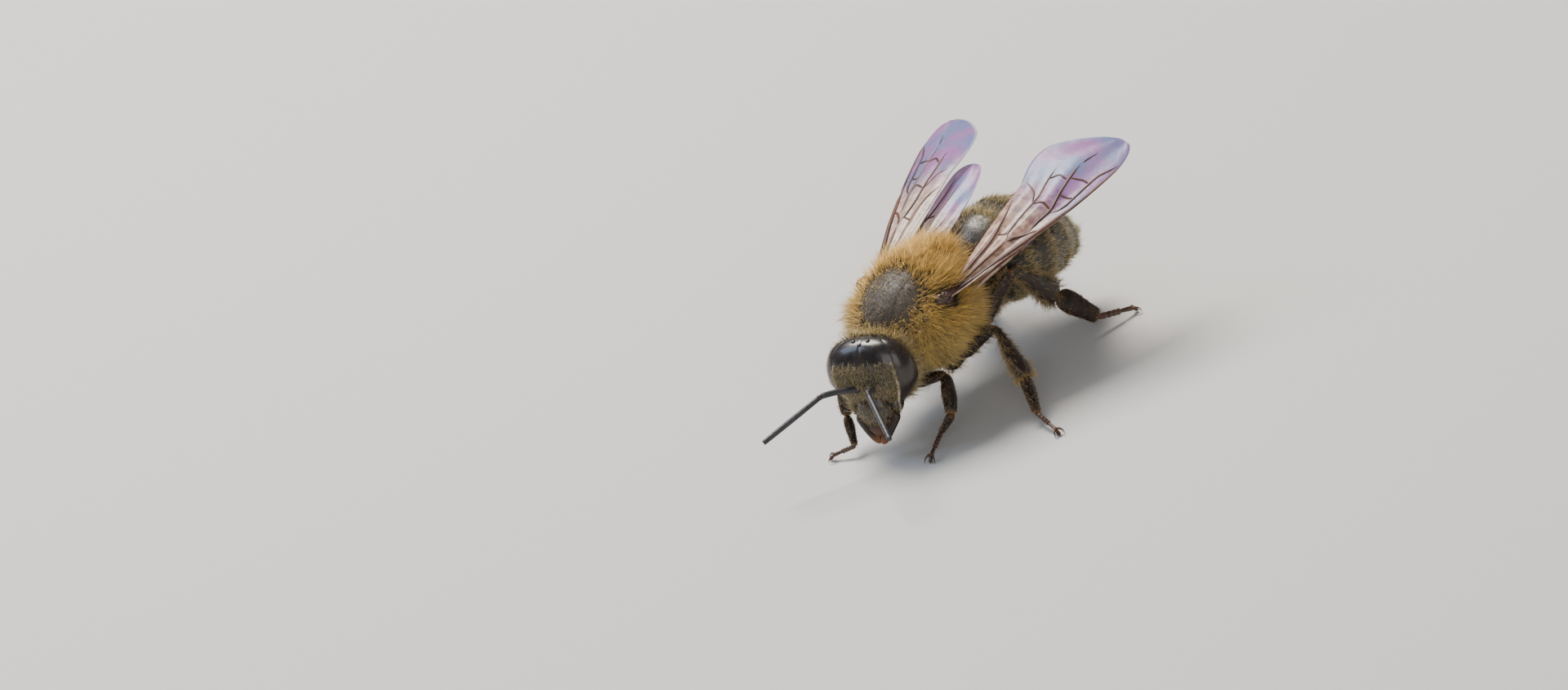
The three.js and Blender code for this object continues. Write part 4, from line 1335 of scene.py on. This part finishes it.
# The pale lines: short, close hair on the head's shell all along the edge of each eye.
roots, outs = roots_on(head_shell, 90000, 51)
local = off_head(roots)
reach = eye_reach(local)
in_line = (reach > 1.0) & (reach < 1.07) & (local[:, 2] > -1.2) & (local[:, 2] < 0.8)
roots, outs, local = thin_out(in_line * 1.0, 52, roots, outs, local)
lean = outs - 1.4 * HEAD_AXES[:, 2] + 0.2 * field(roots, 53, 3)
grow_coat("eye_rim_coat", roots, outs, lean, 0.13, head_unwrap(local), LINE_HAIR, 54,
          girth=0.007, fan=0.3, hairs=2, spacing=0.02)

# A thin, short down stands on the eyes themselves.
EYE_TUFTS = 1800
for side_name, side in SIDES.items():
    d = unit(np.random.default_rng(55 + side).normal(size=(EYE_TUFTS, 3)))
    d[:, 0] = np.abs(d[:, 0])
    local = eye_local(d, side)
    outs = unit(local / np.array(HEAD_HALF) ** 2) @ HEAD_AXES.T
    grow_coat(f"eye_down_{side_name}", on_head(local), outs, outs, 0.1, round_unwrap(d), DISC_HAIR,
              57, girth=0.004, fan=0.3, hairs=1, spacing=0.01)

# ------------------------------------------------------------------ abdomen coat
# The first ring carries long brown-gold hair like the thorax. The others have short hair, swept
# back and half raised, that is thickest and palest in a band along each rear edge.
BELLY_HAIR = hair("abdomen_hair_finish", (0.07, 0.048, 0.018), (0.62, 0.47, 0.18), (0.64, 0.44, 0.13))
ABDOMEN_TUFTS = 30000
RING_SHARES = (0.1, 0.26, 0.24, 0.2, 0.13, 0.07)
SURFACE_STEP = 0.01
draw = np.random.default_rng(61)
grown = []
for index, part in enumerate(RING_SHARES):
    count = int(ABDOMEN_TUFTS * part)
    t = draw.random(count)
    turn = draw.uniform(0, 2 * pi, count)
    near_edge = np.exp(-((1 - t) / 0.17) ** 2)
    banded = (0.13 + 0.87 * near_edge) * smooth((t - 0.15) / 0.3)
    keep = draw.random(count) < (banded if index else 0.5)
    t, turn, near_edge = t[keep], turn[keep], near_edge[keep]
    spot = ring_surface(index, t, turn)
    before, behind = (ring_surface(index, t + step, turn) for step in (-SURFACE_STEP, SURFACE_STEP))
    clockwise, anticlockwise = (ring_surface(index, t, turn + step) for step in (-SURFACE_STEP, SURFACE_STEP))
    back = unit(behind - before)
    out = unit(np.cross(anticlockwise - clockwise, back))
    out = out * np.sign(((spot - abdomen_axis(spot)) * out).sum(1))[:, None]
    if index == 0:
        lengths = np.full(len(t), 0.5)
        lean = out + 0.35 * back
    else:
        lengths = mix(0.24, 0.32, near_edge) * mix(1, 1.3, smooth(-np.sin(turn)))
        lean = out * mix(0.7, 0.5, near_edge)[:, None] + back
    unwrap = np.stack([turn / (2 * pi), (index + t) / len(RING_SHARES)], axis=1)
    grown.append((spot, out, lean, lengths, unwrap))
roots, outs, lean, lengths, unwrap = map(np.concatenate, zip(*grown))
grow_coat("abdomen_coat", roots, outs, lean + 0.15 * field(roots, 62, 2), lengths, unwrap, BELLY_HAIR,
          63, girth=0.0058, fan=0.25, pieces=2, curl=(0, 0.12, -0.05))

# ------------------------------------------------------------------ leg coat
# Stiff golden hair, mostly along the two narrow edges of each segment: longest on the hind and
# middle shins, and short and flat on the long foot segments.
LEG_HAIR = hair("leg_hair_finish", (0.04, 0.022, 0.008), (0.45, 0.3, 0.105), (0.54, 0.34, 0.09))
# pair and segment: tufts, length, share of them along the two narrow edges, how flat it lies
LEG_TUFTS = {
    ("front", "coxa"): (140, 0.32, 0.0, 0.5),
    ("front", "femur"): (180, 0.221, 0.8, 0.7),
    ("front", "tibia"): (192, 0.153, 0.85, 0.8),
    ("front", "basitarsus"): (168, 0.0935, 0.6, 1.3),
    ("middle", "coxa"): (140, 0.32, 0.0, 0.5),
    ("middle", "femur"): (300, 0.325, 0.8, 0.7),
    ("middle", "tibia"): (520, 0.378, 0.85, 0.8),
    ("middle", "basitarsus"): (280, 0.11, 0.6, 1.3),
    ("hind", "coxa"): (140, 0.32, 0.0, 0.5),
    ("hind", "femur"): (300, 0.325, 0.8, 0.7),
    ("hind", "tibia"): (520, 0.45, 0.92, 0.8),
    ("hind", "basitarsus"): (280, 0.11, 0.6, 1.3),
}
for side_name, side in SIDES.items():
    draw = np.random.default_rng(71 + side)
    grown = []
    for cell, ((pair, segment), (count, length, edged, flat)) in enumerate(LEG_TUFTS.items()):
        limb = legs[f"{pair}_{side_name}"][segment]
        t = draw.uniform(0.04, 0.97, count)
        turn = draw.uniform(0, 2 * pi, count)
        if (pair, segment) == ("middle", "tibia"):
            # a bright ring of hair round the end of the shin
            in_ring = draw.random(count) < 0.3
            t = np.where(in_ring, draw.uniform(0.94, 0.99, count), t)
        edge_turn = np.round(turn / pi) * pi + draw.normal(0, 0.4, count)
        turn = np.where(draw.random(count) < edged, edge_turn, turn)
        out = limb.out(turn)
        lengths = length * mix(0.75, 1, draw.random(count)) * mix(0.6, 1, smooth(t * 4))
        unwrap = np.stack([(cell + turn % (2 * pi) / (2 * pi)) / len(LEG_TUFTS), t], axis=1)
        grown.append((limb.surface(t, turn), out, out + unit(limb.along) * flat, lengths, unwrap))
    roots, outs, lean, lengths, unwrap = map(np.concatenate, zip(*grown))
    grow_coat(f"leg_coat_{side_name}", roots, outs, lean + 0.12 * field(roots, 72, 2), lengths, unwrap,
              LEG_HAIR, 73, girth=0.006, fan=0.35, curl=(0, 0, -0.1))

# ------------------------------------------------------------------ studio
# A plain pale floor, a large soft light over her back, a gentler one in front, a bluish one from
# above, and a pale room.
FLOOR_HALF = 1.5
floor_shape = bmesh.new()
bmesh.ops.create_grid(floor_shape, x_segments=1, y_segments=1, size=FLOOR_HALF)
floor_mesh = bpy.data.meshes.new("studio_floor")
floor_shape.to_mesh(floor_mesh)
floor_shape.free()
floor_material, floor_tree, floor_surface = new_material("floor_finish")
feed(floor_tree, floor_surface, {"Base Color": (0.62, 0.61, 0.59, 1), "Roughness": 0.7})
show(floor_mesh, floor_material)

# light: direction from her, distance, size, power and colour
LIGHTS = {
    "key": ((-0.55, 0.2, 1.0), 0.26, 0.12, 1.25, (1.0, 0.94, 0.85)),
    "fill": ((0.9, -0.8, 0.55), 0.3, 0.2, 0.26, (0.97, 0.98, 1.0)),
    "sky": ((-0.75, -0.5, 0.9), 0.28, 0.14, 0.28, (0.56, 0.72, 1.0)),
}
for name, (direction, distance, size, power, tint) in LIGHTS.items():
    light = bpy.data.lights.new(name, "AREA")
    light.size = size
    light.energy = power
    light.color = tint
    lamp = bpy.data.objects.new(name, light)
    way = Vector(direction).normalized()
    lamp.matrix_world = (Matrix.Translation(MIDDLE + way * distance)
                         @ way.to_track_quat("Z", "Y").to_matrix().to_4x4())
    bpy.context.scene.collection.objects.link(lamp)

world = bpy.data.worlds.new("pale_room")
world.use_nodes = True
feed(world.node_tree, world.node_tree.nodes["Background"], {"Color": (0.9, 0.92, 0.95, 1), "Strength": 0.28})
bpy.context.scene.world = world
